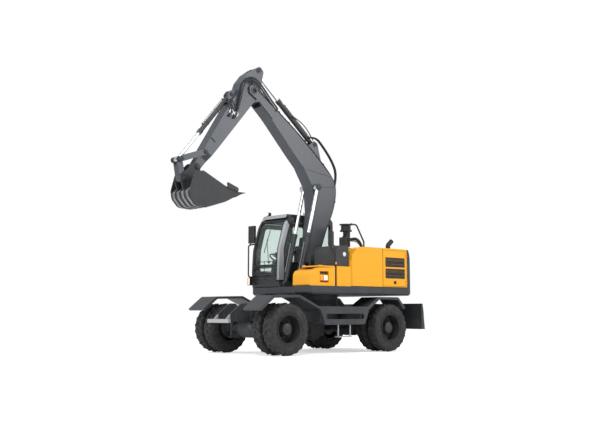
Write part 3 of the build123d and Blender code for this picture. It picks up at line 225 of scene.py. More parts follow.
def joinAll(pieces):
    if len(pieces) > 1:
        clearSelection()
        for piece in pieces:
            piece.select_set(True)
        bpy.context.view_layer.objects.active = pieces[0]
        bpy.ops.object.join()
    return pieces[0]


def roundedLine(rows, closed=False, steps=5):
    # the points of an outline with rounded corners, from rows of x, z and radius
    line = []
    for i, (x, z, radius) in enumerate(rows):
        corner = Vector((x, z))
        if radius == 0 or (not closed and i in (0, len(rows) - 1)):
            line.append(corner)
            continue
        before = Vector(rows[i - 1][:2]) - corner
        after = Vector(rows[(i + 1) % len(rows)][:2]) - corner
        turn = math.pi - before.angle(after)
        most = helperUser["cornerMost"]
        cut = min(radius * math.tan(turn / 2), most * before.length, most * after.length)
        enter = corner + before.normalized() * cut
        leave = corner + after.normalized() * cut
        for k in range(steps + 1):
            t = k / steps
            line.append(enter * (1 - t) ** 2 + corner * 2 * t * (1 - t) + leave * t ** 2)
    return line


def addOutline(points, fill):
    # a ring of points at the places given, left in edit mode and selected all over
    clearSelection()
    bpy.ops.mesh.primitive_circle_add(vertices=len(points), radius=helperUser["starter"],
                                      fill_type=fill)
    piece = bpy.context.object
    bpy.ops.object.mode_set(mode="EDIT")
    mesh = bmesh.from_edit_mesh(piece.data)
    mesh.verts.ensure_lookup_table()
    for vertex, place in zip(mesh.verts, points):
        vertex.co = place
    bmesh.update_edit_mesh(piece.data)
    bpy.ops.mesh.select_all(action="SELECT")
    return piece


def addPrism(line, yLow, yHigh, edge=0.003):
    # a plate whose outline is given in x and z
    piece = addOutline([(x, yLow, z) for x, z in line], "NGON")
    bpy.ops.mesh.extrude_region_move(TRANSFORM_OT_translate={"value": (0, yHigh - yLow, 0)})
    bpy.ops.object.mode_set(mode="OBJECT")
    turnOutwards(piece)
    bevelEdges(piece, edge, 1)
    return piece


def addRibbon(line, yLow, yHigh, thick):
    # a flat band laid along a line in x and z
    clearSelection()
    bpy.ops.mesh.primitive_grid_add(x_subdivisions=len(line) - 1, y_subdivisions=1, size=1)
    piece = bpy.context.object
    columns = sorted(piece.data.vertices, key=lambda v: (round(v.co.x, 4), v.co.y))
    for i, (x, z) in enumerate(line):
        columns[2 * i].co = (x, yLow, z)
        columns[2 * i + 1].co = (x, yHigh, z)
    pick(piece)
    wall = piece.modifiers.new("wall", "SOLIDIFY")
    wall.thickness = thick
    wall.offset = 0
    bpy.ops.object.modifier_apply(modifier=wall.name)
    turnOutwards(piece)
    bevelEdges(piece, thick / 4, 1)
    return piece


def copyMoved(piece, matrix):
    twin = piece.copy()
    twin.data = piece.data.copy()
    bpy.context.collection.objects.link(twin)
    twin.data.transform(matrix)
    return twin


flipY = Matrix.Scale(-1, 4, (0, 1, 0))


def mirrorY(piece):
    twin = copyMoved(piece, flipY)
    turnOutwards(twin)
    return twin


def finish(pieces, name, lookName, body, angle=35):
    piece = joinAll(pieces)
    piece.name = name
    piece.data.name = name
    piece.data.materials.clear()
    piece.data.materials.append(looks[lookName])
    for face in piece.data.polygons:
        face.material_index = 0
    smooth(piece, angle)
    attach(piece, body)
    return piece


# Paints, metals, rubber and glass
wearUser = {
    "detail": 6,
    "patches": (0.45, 0.75),  # dust starts and is full at these heights of the noise
    "coatRough": 0.15, "grainDepth": 0.002, "glassBend": 1.12,
}


def makeWearGroup():
    # lets dust and rubbed patches vary a colour and its roughness over the surface
    group = bpy.data.node_groups.new("fieldWear", "ShaderNodeTree")
    for label, kind in (("Vector", "Vector"), ("Paint", "Color"), ("Dust", "Color"),
                        ("Scale", "Float"), ("Amount", "Float"), ("Smoothest", "Float"),
                        ("Roughest", "Float")):
        group.interface.new_socket(name=label, in_out="INPUT", socket_type="NodeSocket" + kind)
    for label, kind in (("Colour", "Color"), ("Roughness", "Float")):
        group.interface.new_socket(name=label, in_out="OUTPUT", socket_type="NodeSocket" + kind)
    links = group.links
    entry = group.nodes.new("NodeGroupInput")
    leave = group.nodes.new("NodeGroupOutput")
    cloud = group.nodes.new("ShaderNodeTexNoise")
    cloud.inputs["Detail"].default_value = wearUser["detail"]
    links.new(entry.outputs["Vector"], cloud.inputs["Vector"])
    links.new(entry.outputs["Scale"], cloud.inputs["Scale"])
    mask = group.nodes.new("ShaderNodeMapRange")
    mask.inputs["From Min"].default_value = wearUser["patches"][0]
    mask.inputs["From Max"].default_value = wearUser["patches"][1]
    links.new(cloud.outputs["Fac"], mask.inputs["Value"])
    share = group.nodes.new("ShaderNodeMath")
    share.operation = "MULTIPLY"
    links.new(mask.outputs["Result"], share.inputs[0])
    links.new(entry.outputs["Amount"], share.inputs[1])
    blend = group.nodes.new("ShaderNodeMix")
    blend.data_type = "RGBA"
    links.new(share.outputs[0], blend.inputs["Factor"])
    links.new(entry.outputs["Paint"], blend.inputs["A"])
    links.new(entry.outputs["Dust"], blend.inputs["B"])
    links.new(blend.outputs["Result"], leave.inputs["Colour"])
    gloss = group.nodes.new("ShaderNodeMapRange")
    links.new(cloud.outputs["Fac"], gloss.inputs["Value"])
    links.new(entry.outputs["Smoothest"], gloss.inputs["To Min"])
    links.new(entry.outputs["Roughest"], gloss.inputs["To Max"])
    links.new(gloss.outputs["Result"], leave.inputs["Roughness"])
    return group


wearGroup = makeWearGroup()


def makeFinish(name, paint, dust, scale, amount, rough, metallic=0.0, coat=0.0, grain=None):
    finishMaterial = bpy.data.materials.new(name)
    finishMaterial.use_nodes = True
    tree = finishMaterial.node_tree
    shader = tree.nodes["Principled BSDF"]
    shader.inputs["Metallic"].default_value = metallic
    shader.inputs["Coat Weight"].default_value = coat
    shader.inputs["Coat Roughness"].default_value = wearUser["coatRough"]
    place = tree.nodes.new("ShaderNodeTexCoord")
    wear = tree.nodes.new("ShaderNodeGroup")
    wear.node_tree = wearGroup
    wear.inputs["Paint"].default_value = (*paint, 1)
    wear.inputs["Dust"].default_value = (*dust, 1)
    wear.inputs["Scale"].default_value = scale
    wear.inputs["Amount"].default_value = amount
    wear.inputs["Smoothest"].default_value = rough[0]
    wear.inputs["Roughest"].default_value = rough[1]
    tree.links.new(place.outputs["Object"], wear.inputs["Vector"])
    tree.links.new(wear.outputs["Colour"], shader.inputs["Base Color"])
    tree.links.new(wear.outputs["Roughness"], shader.inputs["Roughness"])
    if grain:
        speckle = tree.nodes.new("ShaderNodeTexNoise")
        speckle.inputs["Scale"].default_value = grain[1]
        bump = tree.nodes.new("ShaderNodeBump")
        bump.inputs["Strength"].default_value = grain[0]
        bump.inputs["Distance"].default_value = wearUser["grainDepth"]
        tree.links.new(place.outputs["Object"], speckle.inputs["Vector"])
        tree.links.new(speckle.outputs["Fac"], bump.inputs["Height"])
        tree.links.new(bump.outputs["Normal"], shader.inputs["Normal"])
    return finishMaterial


def makeGlow(name, colour, strength):
    # the emission paints a glow on the lamp lenses and on the post reflector, which is no lamp
    lens = makeFinish(name, colour, colour, 3.0, 0.0, (0.1, 0.2), coat=0.5)
    shader = lens.node_tree.nodes["Principled BSDF"]
    shader.inputs["Emission Color"].default_value = (*colour, 1)
    shader.inputs["Emission Strength"].default_value = strength
    return lens


def makeGlass(name, colour, rough, through):
    glass = bpy.data.materials.new(name)
    glass.use_nodes = True
    shader = glass.node_tree.nodes["Principled BSDF"]
    shader.inputs["Base Color"].default_value = (*colour, 1)
    shader.inputs["Roughness"].default_value = rough
    shader.inputs["Transmission Weight"].default_value = through
    shader.inputs["IOR"].default_value = wearUser["glassBend"]
    return glass


# Paint, dust on it, how close the patches lie, how strong they are, smoothest and roughest,
# then what only some have: a clear coat, metal, or a grain by strength and closeness
finishUser = {
    "hoodYellow": ((0.93, 0.405, 0.004), (0.70, 0.33, 0.02), 2.0, 0.18, (0.28, 0.42),
                   {"coat": 0.2}),
    "boomSlate": ((0.043, 0.050, 0.061), (0.085, 0.09, 0.098), 2.5, 0.35, (0.28, 0.45),
                  {"coat": 0.2}),
    "frameDark": ((0.030, 0.033, 0.037), (0.09, 0.088, 0.084), 3.0, 0.4, (0.38, 0.6), {}),
    "skirtDark": ((0.034, 0.038, 0.043), (0.08, 0.08, 0.078), 3.0, 0.35, (0.32, 0.5),
                  {"coat": 0.1}),
    "cabDark": ((0.022, 0.024, 0.028), (0.07, 0.072, 0.075), 2.0, 0.3, (0.22, 0.4),
                {"coat": 0.3}),
    "bucketDark": ((0.018, 0.020, 0.024), (0.055, 0.053, 0.052), 5.0, 0.5, (0.38, 0.6),
                   {"grain": (0.25, 25)}),
    "wornSteel": ((0.30, 0.30, 0.30), (0.16, 0.14, 0.12), 12.0, 0.7, (0.3, 0.5),
                  {"metallic": 0.8}),
    "barLight": ((0.46, 0.47, 0.48), (0.3, 0.3, 0.3), 8.0, 0.4, (0.35, 0.5), {"metallic": 0.4}),
    "rodChrome": ((0.80, 0.81, 0.83), (0.7, 0.7, 0.7), 20.0, 0.1, (0.06, 0.14),
                  {"metallic": 1.0}),
    "tyreRubber": ((0.013, 0.013, 0.014), (0.070, 0.066, 0.060), 14.0, 0.6, (0.55, 0.8),
                   {"grain": (0.3, 180)}),
    "rimDark": ((0.028, 0.029, 0.031), (0.08, 0.075, 0.07), 8.0, 0.4, (0.4, 0.6), {}),
    "trimBlack": ((0.012, 0.012, 0.013), (0.04, 0.04, 0.04), 10.0, 0.3, (0.4, 0.6), {}),
    "hoseBlack": ((0.010, 0.010, 0.011), (0.03, 0.03, 0.03), 15.0, 0.3, (0.35, 0.5), {}),
    # near-black rubber for the window seals, and painted shade on the hood's seam ribbons
    "sealBlackAndSeamShade": ((0.006, 0.006, 0.006), (0.006, 0.006, 0.006), 3.0, 0.15, (0.6, 0.7), {}),
    "castIron": ((0.045, 0.047, 0.05), (0.1, 0.09, 0.08), 12.0, 0.5, (0.5, 0.7),
                 {"grain": (0.4, 60)}),
    "pipeGrey": ((0.32, 0.33, 0.34), (0.2, 0.18, 0.16), 10.0, 0.4, (0.35, 0.5),
                 {"metallic": 0.7}),
    "pillarSilver": ((0.42, 0.44, 0.46), (0.3, 0.3, 0.3), 5.0, 0.2, (0.25, 0.35),
                     {"metallic": 0.3}),
    "fittingWhite": ((0.75, 0.76, 0.76), (0.5, 0.5, 0.5), 8.0, 0.2, (0.3, 0.4), {}),
    "seatCloth": ((0.03, 0.03, 0.034), (0.06, 0.06, 0.06), 40.0, 0.4, (0.8, 0.95),
                  {"grain": (0.3, 400)}),
    "mirrorFace": ((0.85, 0.87, 0.88), (0.85, 0.87, 0.88), 3.0, 0.15, (0.03, 0.05),
                   {"metallic": 1.0}),
}
looks = {}
for lookName, (paint, dust, scale, amount, rough, more) in finishUser.items():
    looks[lookName] = makeFinish(lookName, paint, dust, scale, amount, rough, **more)
looks["lensWhite"] = makeGlow("lensWhite", (0.95, 0.95, 0.92), 0.4)
looks["lensAmber"] = makeGlow("lensAmber", (0.95, 0.32, 0.03), 0.3)
looks["cabGlass"] = makeGlass("cabGlass", (0.80, 0.88, 0.85), 0.02, 0.96)

wheelEnds = ("front_left", "front_right", "rear_left", "rear_right")
nodeLooks = {
    "hoodYellow": ("hood", "side_door_left", "side_door_right", "hood_lid", "tool_box",
                   "tool_lid", "tank_cover"),
    "boomSlate": ("boom", "arm", "rocker", "link"),
    "skirtDark": ("skirt_left", "skirt_right", "counterweight", "deck"),
    "frameDark": ("chassis_frame", "front_plates", "outriggers", "blade_lugs", "front_axle",
                  "rear_axle", "knuckle_left", "knuckle_right", "slew_ring", "blade_arms",
                  "blade_links", "blade", "boom_barrels", "arm_barrel", "bucket_barrel",
                  "side_tank"),
    "cabDark": ("cab_frame", "cab_door"),
    "bucketDark": ("bucket",),
    "barLight": ("steps",),
    "rodChrome": ("boom_rods", "arm_rod", "bucket_rod"),
    "rimDark": tuple("rims_" + end for end in wheelEnds),
    "tyreRubber": tuple("tyres_" + end for end in wheelEnds),
    "trimBlack": ("hand_rails", "hood_stacks", "controls", "cab_lamps"),
    "castIron": ("drive_line", "engine"),
    "cabGlass": ("cab_glass", "door_glass"),
    "seatCloth": ("cab_seat",),
}
for lookName, names in nodeLooks.items():
    for name in names:
        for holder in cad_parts[name].material_slots:
            holder.material = looks[lookName]
print("finishes made and set on the frame's pieces")


# Camera, at the photograph's height and distance
viewUser = {"place": (11.972, 13.72, 0.835), "aim": (-0.664, -0.748), "pitch": 6.72,
            "lens": 52.4, "farthest": 300}
pitch = math.radians(viewUser["pitch"])
gaze = Vector((viewUser["aim"][0] * math.cos(pitch), viewUser["aim"][1] * math.cos(pitch),
               math.sin(pitch)))
clearSelection()
bpy.ops.object.camera_add(location=viewUser["place"],
                          rotation=gaze.to_track_quat("-Z", "Y").to_euler())
camera = bpy.context.object
camera.data.lens = viewUser["lens"]
camera.data.clip_end = viewUser["farthest"]
bpy.context.scene.camera = camera
bpy.context.scene.view_settings.view_transform = "Standard"

# Lamps: place, size and power, all turned to one point
lampAim = Vector((0, 0, 2.0))
lightUser = {
    "key": ((7.0, 6.0, 11.0), 7.0, 900.0),
    "side": ((-6.0, 9.0, 7.0), 6.0, 420.0),
    "front": ((11.0, -3.0, 6.0), 6.0, 420.0),
    "back": ((-9.0, -6.0, 9.0), 6.0, 350.0),
}
for lightName, (spot, size, power) in lightUser.items():
    clearSelection()
    bpy.ops.object.light_add(type="AREA", location=spot)
    lamp = bpy.context.object
    lamp.name = lightName + "Light"
    lamp.rotation_euler = (lampAim - Vector(spot)).to_track_quat("-Z", "Y").to_euler()
    lamp.data.shape = "SQUARE"
    lamp.data.size = size
    lamp.data.energy = power

# Surroundings: a soft sky for the object, plain white for the camera and through glass
skyUser = {"colour": (0.95, 0.97, 1.0), "strength": 0.55}
world = bpy.data.worlds.new("studio")
bpy.context.scene.world = world
world.use_nodes = True
sky = world.node_tree
sky.nodes.clear()
soft = sky.nodes.new("ShaderNodeBackground")
soft.inputs["Color"].default_value = (*skyUser["colour"], 1)
soft.inputs["Strength"].default_value = skyUser["strength"]
white = sky.nodes.new("ShaderNodeBackground")
white.inputs["Color"].default_value = (1, 1, 1, 1)
path = sky.nodes.new("ShaderNodeLightPath")
seen = sky.nodes.new("ShaderNodeMath")
seen.operation = "MAXIMUM"
choose = sky.nodes.new("ShaderNodeMixShader")
skyOut = sky.nodes.new("ShaderNodeOutputWorld")
sky.links.new(path.outputs["Is Camera Ray"], seen.inputs[0])
sky.links.new(path.outputs["Is Transmission Ray"], seen.inputs[1])
sky.links.new(seen.outputs[0], choose.inputs["Fac"])
sky.links.new(soft.outputs[0], choose.inputs[1])
sky.links.new(white.outputs[0], choose.inputs[2])
sky.links.new(choose.outputs[0], skyOut.inputs["Surface"])

# Floor: pale paper that looks white to the camera and keeps the shadow
paperUser = {"size": 400, "grey": 0.92, "rough": 0.9, "gloss": 0.1, "glow": 0.52}
clearSelection()
bpy.ops.mesh.primitive_plane_add(size=paperUser["size"], location=(0, 0, 0))
floor = bpy.context.object
floor.name = "floor"
paper = bpy.data.materials.new("floorPaper")
paper.use_nodes = True
paperTree = paper.node_tree
paperShader = paperTree.nodes["Principled BSDF"]
paperShader.inputs["Base Color"].default_value = (*[paperUser["grey"]] * 3, 1)
paperShader.inputs["Roughness"].default_value = paperUser["rough"]
paperShader.inputs["Specular IOR Level"].default_value = paperUser["gloss"]
paperShader.inputs["Emission Color"].default_value = (1, 1, 1, 1)
paperPath = paperTree.nodes.new("ShaderNodeLightPath")
paperGlow = paperTree.nodes.new("ShaderNodeMath")
paperGlow.operation = "MULTIPLY"
paperGlow.inputs[1].default_value = paperUser["glow"]
paperTree.links.new(paperPath.outputs["Is Camera Ray"], paperGlow.inputs[0])
paperTree.links.new(paperGlow.outputs[0], paperShader.inputs["Emission Strength"])
floor.data.materials.append(paper)
print("camera, light and floor set")


# Tyres: a moulded section spun round, with lugs that run over the shoulder
tyreUser = {
    "radius": 0.5095, "tread": 0.484, "bead": 0.2855,  # over the lugs, between them, at the rim
    "half": 0.1275, "treadHalf": 0.112, "steps": 66,
    # the section in rows: up from the bead or the tread, then in from the side
    "wall": ((0.0, 0.030), (0.020, 0.012), (0.060, 0.003), (0.105, 0.0)),
    "shoulder": ((-0.055, 0.003), (-0.030, 0.010)),
    "treadEdge": ((-0.008, 0.002), (0.0, 0.018)),
    "treadMiddle": ((0.002, -0.045), (0.003, 0.0)),  # up from the tread, y
    "wallRings": ((0.035, 0.005), (0.125, 0.0035)), "ringSunk": 0.004,
    "lugs": 22, "lugWide": 0.098, "lugLong": 0.042, "lugEdge": 0.006, "skew": 24.0,
    "lugSunk": 0.020, "lugTrim": 0.001, "lugLap": 0.004,
    "fallFrom": 0.6, "fall": 0.012, "flare": 1.18,  # the lug's outer end drops and widens
    "sideLow": 0.070, "sideHigh": 0.004, "sideLap": 0.006, "sideOut": 0.020, "sideHalf": 0.45,
    "footFrom": 0.030, "footOut": 0.004, "footShare": 0.8,
    "track": 0.9445, "spacing": 0.325, "axleZ": 0.510,
    "turned": 6, "turnedOuter": 31, "turnedLeft": 17, "turnedRear": 9,  # degrees, at rest
}


def makeTyre():
    user = tyreUser
    half, tread, bead, treadHalf = user["half"], user["tread"], user["bead"], user["treadHalf"]
    section = [(bead + up, -half + inwards) for up, inwards in user["wall"]]
    section += [(tread + up, -half + inwards) for up, inwards in user["shoulder"]]
    section += [(tread + up, -treadHalf + inwards) for up, inwards in user["treadEdge"]]
    section += [(tread + up, across) for up, across in user["treadMiddle"]]
    section += [(radius, -y) for radius, y in reversed(section[:-1])]
    tyre = addOutline([(radius, y, 0) for radius, y in section], "NOTHING")
    bpy.ops.mesh.spin(steps=user["steps"], angle=math.tau, center=(0, 0, 0), axis=(0, 1, 0))
    bpy.ops.object.mode_set(mode="OBJECT")
    turnOutwards(tyre)
    parts = [tyre]
    for up, thick in user["wallRings"]:
        for side in (-1, 1):
            centre = (0, side * (half - user["ringSunk"]), 0)
            parts.append(addRing(centre, (0, 1, 0), bead + up, thick, 60, 8))
    # one lug for each half: a bar on the tread and a block over the shoulder, copied round
    wide, long, edge = user["lugWide"], user["lugLong"], user["lugEdge"]
    lugs = []
    for side in (-1, 1):
        lug = addBlock((tread - user["lugSunk"], -user["lugLap"], -long / 2),
                       (user["radius"] - user["lugTrim"], wide, long / 2), edge)
        for vertex in lug.data.vertices:
            if vertex.co.y > wide * user["fallFrom"]:
                vertex.co.x -= user["fall"]
                vertex.co.z *= user["flare"]
        sideHalf = long * user["sideHalf"]
        shoulder = addBlock((tread - user["sideLow"], wide - user["sideLap"], -sideHalf),
                            (tread + user["sideHigh"], wide + user["sideOut"], sideHalf), edge)
        for vertex in shoulder.data.vertices:
            if vertex.co.x < tread - user["footFrom"]:
                vertex.co.y += user["footOut"]
                vertex.co.z *= user["footShare"]
        lug = joinAll([lug, shoulder])
        turn = Matrix.Rotation(math.radians(-user["skew"]), 4, "X")
        lug.data.transform(Matrix.Translation((0, user["lugLap"], 0)) @ turn)
        if side < 0:
            lug.data.transform(flipY)
            turnOutwards(lug)
        for i in range(user["lugs"]):
            angle = math.tau / user["lugs"] * (i + (0.5 if side > 0 else 0.0))
            lugs.append(copyMoved(lug, Matrix.Rotation(angle, 4, "Y")))
        bpy.data.objects.remove(lug)
    return joinAll(parts + lugs)


# Wheel trim: the rim's lock ring, a ring and nuts on the disc, bolts and a cap on the hub, a valve
wheelUser = {
    "faceOut": 0.112,  # of the outer wheel's middle
    "lockRing": (0.278, 0.0065), "lockSunk": 0.004,
    "discRing": (0.236, 0.006), "discRingY": 0.962,
    "nuts": 10, "nutAt": 0.185, "nutY": 0.955, "nutSize": 0.017,
    "bolts": 8, "boltAt": 0.092, "boltSunk": 0.075, "boltSize": 0.009,
    "capSunk": (0.060, 0.034), "capRadius": (0.055, 0.045), "capEdge": 0.006,
    "valve": ((0.215, 0.955, 0.05), (0.235, 0.999, 0.055)), "valveRadius": 0.007,
}


def roundHub(radius, y, angle):
    return (radius * math.cos(angle), y, radius * math.sin(angle))


def makeWheelTrim():
    # made for a wheel on the left
    user = wheelUser
    outwards = (0, 1, 0)
    face = tyreUser["track"] + tyreUser["spacing"] / 2 + user["faceOut"]
    parts = [addRing((0, face - user["lockSunk"], 0), outwards, *user["lockRing"], 60, 10),
             addRing((0, user["discRingY"], 0), outwards, *user["discRing"], 60, 8)]
    for i in range(user["nuts"]):
        angle = math.tau / user["nuts"] * i
        spot = roundHub(user["nutAt"], user["nutY"], angle)
        parts.append(addBolt(spot, outwards, user["nutSize"]))
    for i in range(user["bolts"]):
        angle = math.tau / user["bolts"] * (i + 0.5)
        spot = roundHub(user["boltAt"], face - user["boltSunk"], angle)
        parts.append(addBolt(spot, outwards, user["boltSize"]))
    inner, outer = user["capSunk"]
    parts.append(addRod((0, face - inner, 0), (0, face - outer, 0), user["capRadius"][0],
                        user["capEdge"], 32, user["capRadius"][1]))
    parts.append(addRod(*user["valve"], user["valveRadius"], 0.002, 10))
    return joinAll(parts)


baseTyre = makeTyre()
baseTrim = makeWheelTrim()
for end in ("front", "rear"):
    for side, sign in (("left", 1), ("right", -1)):
        wheel = end + "_" + side
        pair = []
        for offset in (-0.5, 0.5):
            y = sign * (tyreUser["track"] + offset * tyreUser["spacing"])
            turned = (tyreUser["turned"] + tyreUser["turnedOuter"] * (offset > 0)
                      + tyreUser["turnedLeft"] * (sign > 0)
                      + tyreUser["turnedRear"] * (end == "rear"))
            spin = Matrix.Rotation(math.radians(turned), 4, "Y")
            place = Matrix.Translation((axleX[end], y, tyreUser["axleZ"]))
            pair.append(copyMoved(baseTyre, place @ spin))
        tyres = finish(pair, "tyrePair_" + wheel, "tyreRubber", "wheels_" + wheel,
                       40)
        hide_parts("tyres_" + wheel)
        move = Matrix.Translation((axleX[end], 0, tyreUser["axleZ"]))
        turn = Matrix.Identity(4) if sign > 0 else Matrix.Rotation(math.pi, 4, "Z")
        finish([copyMoved(baseTrim, move @ turn)], "wheelTrim_" + wheel, "rimDark",
               "wheels_" + wheel, 30)
for spare in (baseTyre, baseTrim):
    bpy.data.objects.remove(spare)
print("tyres and wheel trim made")


# Boom hoses: four along its back and three in loops behind its bend, from the foot pin
boomHoseUser = {
    "radius": 0.015, "rows": (0.102, 0.136),
    "back": ((-0.170, 0.140), (-0.385, 0.738), (-0.578, 1.075), (-0.690, 1.562), (-0.582, 1.858),
             (-0.008, 2.352), (0.508, 2.752), (0.900, 3.020), (1.060, 3.135)),
    "bigLoop": ((0.10, 2.66), (-0.10, 2.71), (-0.34, 2.50), (-0.60, 2.22), (-0.745, 1.93),
                (-0.665, 1.66)),
    "smallLoop": ((0.55, 3.07), (0.36, 3.01), (0.18, 2.89), (0.04, 2.75), (-0.05, 2.62)),
    "loops": (("bigLoop", 0.115, 0.017), ("bigLoop", 0.080, 0.017), ("smallLoop", 0.075, 0.011)),
    "clampY": 0.119, "clampHalf": 0.018, "clampRadius": 0.036,
}
back = boomHoseUser["back"]
boomLines = []
for row in boomHoseUser["rows"]:
    for sign in (-1, 1):
        line = [fromFoot(x, z, sign * row) for x, z in back]
        boomLines.append(addHose(line, boomHoseUser["radius"]))
for loop, y, radius in boomHoseUser["loops"]:
    boomLines.append(addHose([fromFoot(x, z, y) for x, z in boomHoseUser[loop]], radius))
finish(boomLines, "boomHoses", "hoseBlack", "boom", 40)

clamps = []
for (ax, az), (bx, bz) in zip(back[1:-1], back[2:]):
    spot = Vector(((ax + bx) / 2, 0, (az + bz) / 2))
    reach = Vector((bx - ax, 0, bz - az)).normalized() * boomHoseUser["clampHalf"]
    for sign in (-1, 1):
        place = footPin + spot + Vector((0, sign * boomHoseUser["clampY"], 0))
        clamps.append(addRod(place - reach, place + reach, boomHoseUser["clampRadius"], 0.003, 14))
finish(clamps, "boomHoseClamps", "trimBlack", "boom", 40)


# Hoses across a joint: rows of x, z and y from the pin, and where the bend starts and ends
def bendHose(line, radius, name):
    hose = addHose(line, radius)
    hose.name = name
    hose.data.name = name
    hose.data.materials.append(looks["hoseBlack"])
    smooth(hose, 40)
    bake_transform(hose)


tipHoseUser = {
    "radius": 0.0135,
    "line": ((-0.64, -0.325, 0.125), (-0.44, -0.170, 0.150), (-0.24, 0.000, 0.185),
             (-0.07, 0.140, 0.200), (0.06, 0.205, 0.205), (0.22, 0.190, 0.200),
             (0.325, 0.0, 0.185), (0.385, -0.300, 0.165), (0.430, -0.500, 0.145)),
    "shifts": ((0.0, 0.0, 0.0), (-0.022, 0.032, 0.003), (0.018, -0.028, 0.020),
               (-0.040, 0.058, -0.018)),
    "bend": ((-0.16, 0, 0.14), (0.36, 0, -0.10)),
}
for i, (dx, dz, dy) in enumerate(tipHoseUser["shifts"]):
    line = [tipPin + Vector((x + dx, y + dy, z + dz)) for x, z, y in tipHoseUser["line"]]
    bendHose(line, tipHoseUser["radius"], "jointHose_" + str(i + 1))

# Arm: white union rings where the hoses meet it, and what leads on to the cylinder
armHoseUser = {
    "unions": ((0.767, 0.114), (0.713, 0.007)),  # along the arm and out of it
    "ring": (0.044, 0.013), "ringY": 0.136,
    "plugY": (0.128, 0.146), "plugRadius": 0.033,
    "stemAlong": (0.045, 0.125), "stemY": 0.150, "stemRadius": 0.024,
    "hoseRadius": 0.013,
    "hoses": (
        ((0.70, 0.05, 0.150), (0.62, 0.16, 0.175), (0.57, 0.27, 0.150), (0.62, 0.345, 0.085)),
        ((0.75, 0.13, 0.150), (0.69, 0.22, 0.170), (0.66, 0.30, 0.140), (0.70, 0.345, 0.075)),
    ),
}
rings = []
blacks = []
plugLow, plugHigh = armHoseUser["plugY"]
stemLow, stemHigh = armHoseUser["stemAlong"]
for along, out in armHoseUser["unions"]:
    y = armHoseUser["stemY"]
    rings.append(addRing(onArm(along, out, armHoseUser["ringY"]), (0, 1, 0),
                         *armHoseUser["ring"], 32, 10))
    blacks.append(addRod(onArm(along, out, plugLow), onArm(along, out, plugHigh),
                         armHoseUser["plugRadius"], 0.003, 24))
    blacks.append(addRod(onArm(along + stemLow, out, y), onArm(along + stemHigh, out, y),
                         armHoseUser["stemRadius"], 0.004, 8))
for hose in armHoseUser["hoses"]:
    blacks.append(addHose([onArm(*spot) for spot in hose], armHoseUser["hoseRadius"]))
finish(rings, "armHoseRings", "fittingWhite", "arm", 40)
finish(blacks, "armHoseFittings", "hoseBlack", "arm", 40)

footHoseUser = {
    "radius": 0.014, "across": (-0.075, -0.025, 0.025, 0.075), "stagger": 0.010,
    "line": ((-0.270, -0.34), (-0.300, -0.12), (-0.265, 0.10), (-0.200, 0.24), (-0.230, 0.42)),
    "bend": ((-0.30, -0.12, 0), (-0.21, 0.22, 0)),
}
for i, y in enumerate(footHoseUser["across"]):
    shift = footHoseUser["stagger"] * (i % 2)
    line = [fromFoot(x - shift, z, y) for x, z in footHoseUser["line"]]
    bendHose(line, footHoseUser["radius"], "footHose_" + str(i + 1))
print("hoses made")


# Boom: doubler plates at the cylinders' eye and welds across the bend, from the foot pin
boomPlateUser = {
    "outline": ((0.300, 1.985, 0), (0.110, 1.900, 0.1), (-0.170, 1.680, 0.06),
                (-0.150, 1.440, 0.06), (0.022, 1.400, 0.02), (0.030, 1.560, 0.1)),
    "y": (0.149, 0.158), "weldY": 0.151,
    "welds": (((0.028, 1.590), (-0.657, 1.640), 0.006), ((-0.552, 1.850), (0.255, 1.950), 0.005)),
}
outline = roundedLine(boomPlateUser["outline"], True)
plate = addPrism([(footPin.x + x, footPin.z + z) for x, z in outline], *boomPlateUser["y"])
boomTrim = [plate, mirrorY(plate)]
for y in (-boomPlateUser["weldY"], boomPlateUser["weldY"]):
    for start, end, radius in boomPlateUser["welds"]:
        boomTrim.append(addTube([fromFoot(*start, y), fromFoot(*end, y)], radius))
finish(boomTrim, "boomPlates", "boomSlate", "boom", 30)

# Dark bands: across the boom behind its fork, and across the arm near its nose
bandUser = {
    "side": (0.737, 0.676), "down": (0.676, -0.737), "corner": (1.085, 3.110),
    "long": 0.055, "high": 0.150, "y": (0.149, 0.163),
    "armAlong": (1.520, 1.550), "armOut": (0.010, 0.142), "armY": (0.127, 0.134),
}
bandLong = Vector(bandUser["side"]) * bandUser["long"]
bandHigh = Vector(bandUser["down"]) * bandUser["high"]
bandTop = Vector(bandUser["corner"]) + Vector((footPin.x, footPin.z))
band = addPrism([bandTop, bandTop + bandLong, bandTop + bandLong + bandHigh, bandTop + bandHigh],
                *bandUser["y"])
finish([band, mirrorY(band)], "boomBand", "trimBlack", "boom", 30)
(alongLow, alongHigh), (outLow, outHigh) = bandUser["armAlong"], bandUser["armOut"]
corners = (onArm(alongLow, outLow, 0), onArm(alongHigh, outLow, 0),
           onArm(alongHigh, outHigh, 0), onArm(alongLow, outHigh, 0))
armBand = addPrism([(corner.x, corner.z) for corner in corners], *bandUser["armY"])
finish([armBand, mirrorY(armBand)], "armBand", "trimBlack", "arm", 30)


# Pins: a round cap with a raised middle, its keeper bolt and a grease nipple
pinUser = {
    "sunk": 0.004, "thick": 0.010, "edge": 0.003,
    "middleTop": 0.016, "middleShare": 0.55,  # of the cap's radius
    "boltAt": 0.72, "boltShare": 0.16, "boltFoot": 0.009, "boltTurn": 0.7,
    "nipple": (0.015, 0.026), "nippleRadius": 0.006,
}


def makePinCap(centre, y, radius):
    user = pinUser
    face = Vector((centre.x, y, centre.z))
    out = Vector((0, 1 if y > 0 else -1, 0))
    keeperWay = Vector((math.cos(user["boltTurn"]), 0, math.sin(user["boltTurn"])))
    top = face + out * user["thick"]
    cap = [addRod(face - out * user["sunk"], top, radius, user["edge"], 28)]
    cap.append(addRod(top, face + out * user["middleTop"], radius * user["middleShare"],
                      0.002, 24))
    cap.append(addBolt(face + keeperWay * radius * user["boltAt"] + out * user["boltFoot"],
                       out, radius * user["boltShare"]))
    low, high = user["nipple"]
    cap.append(addRod(face + out * low, face + out * high, user["nippleRadius"], 0.001, 8))
    return cap


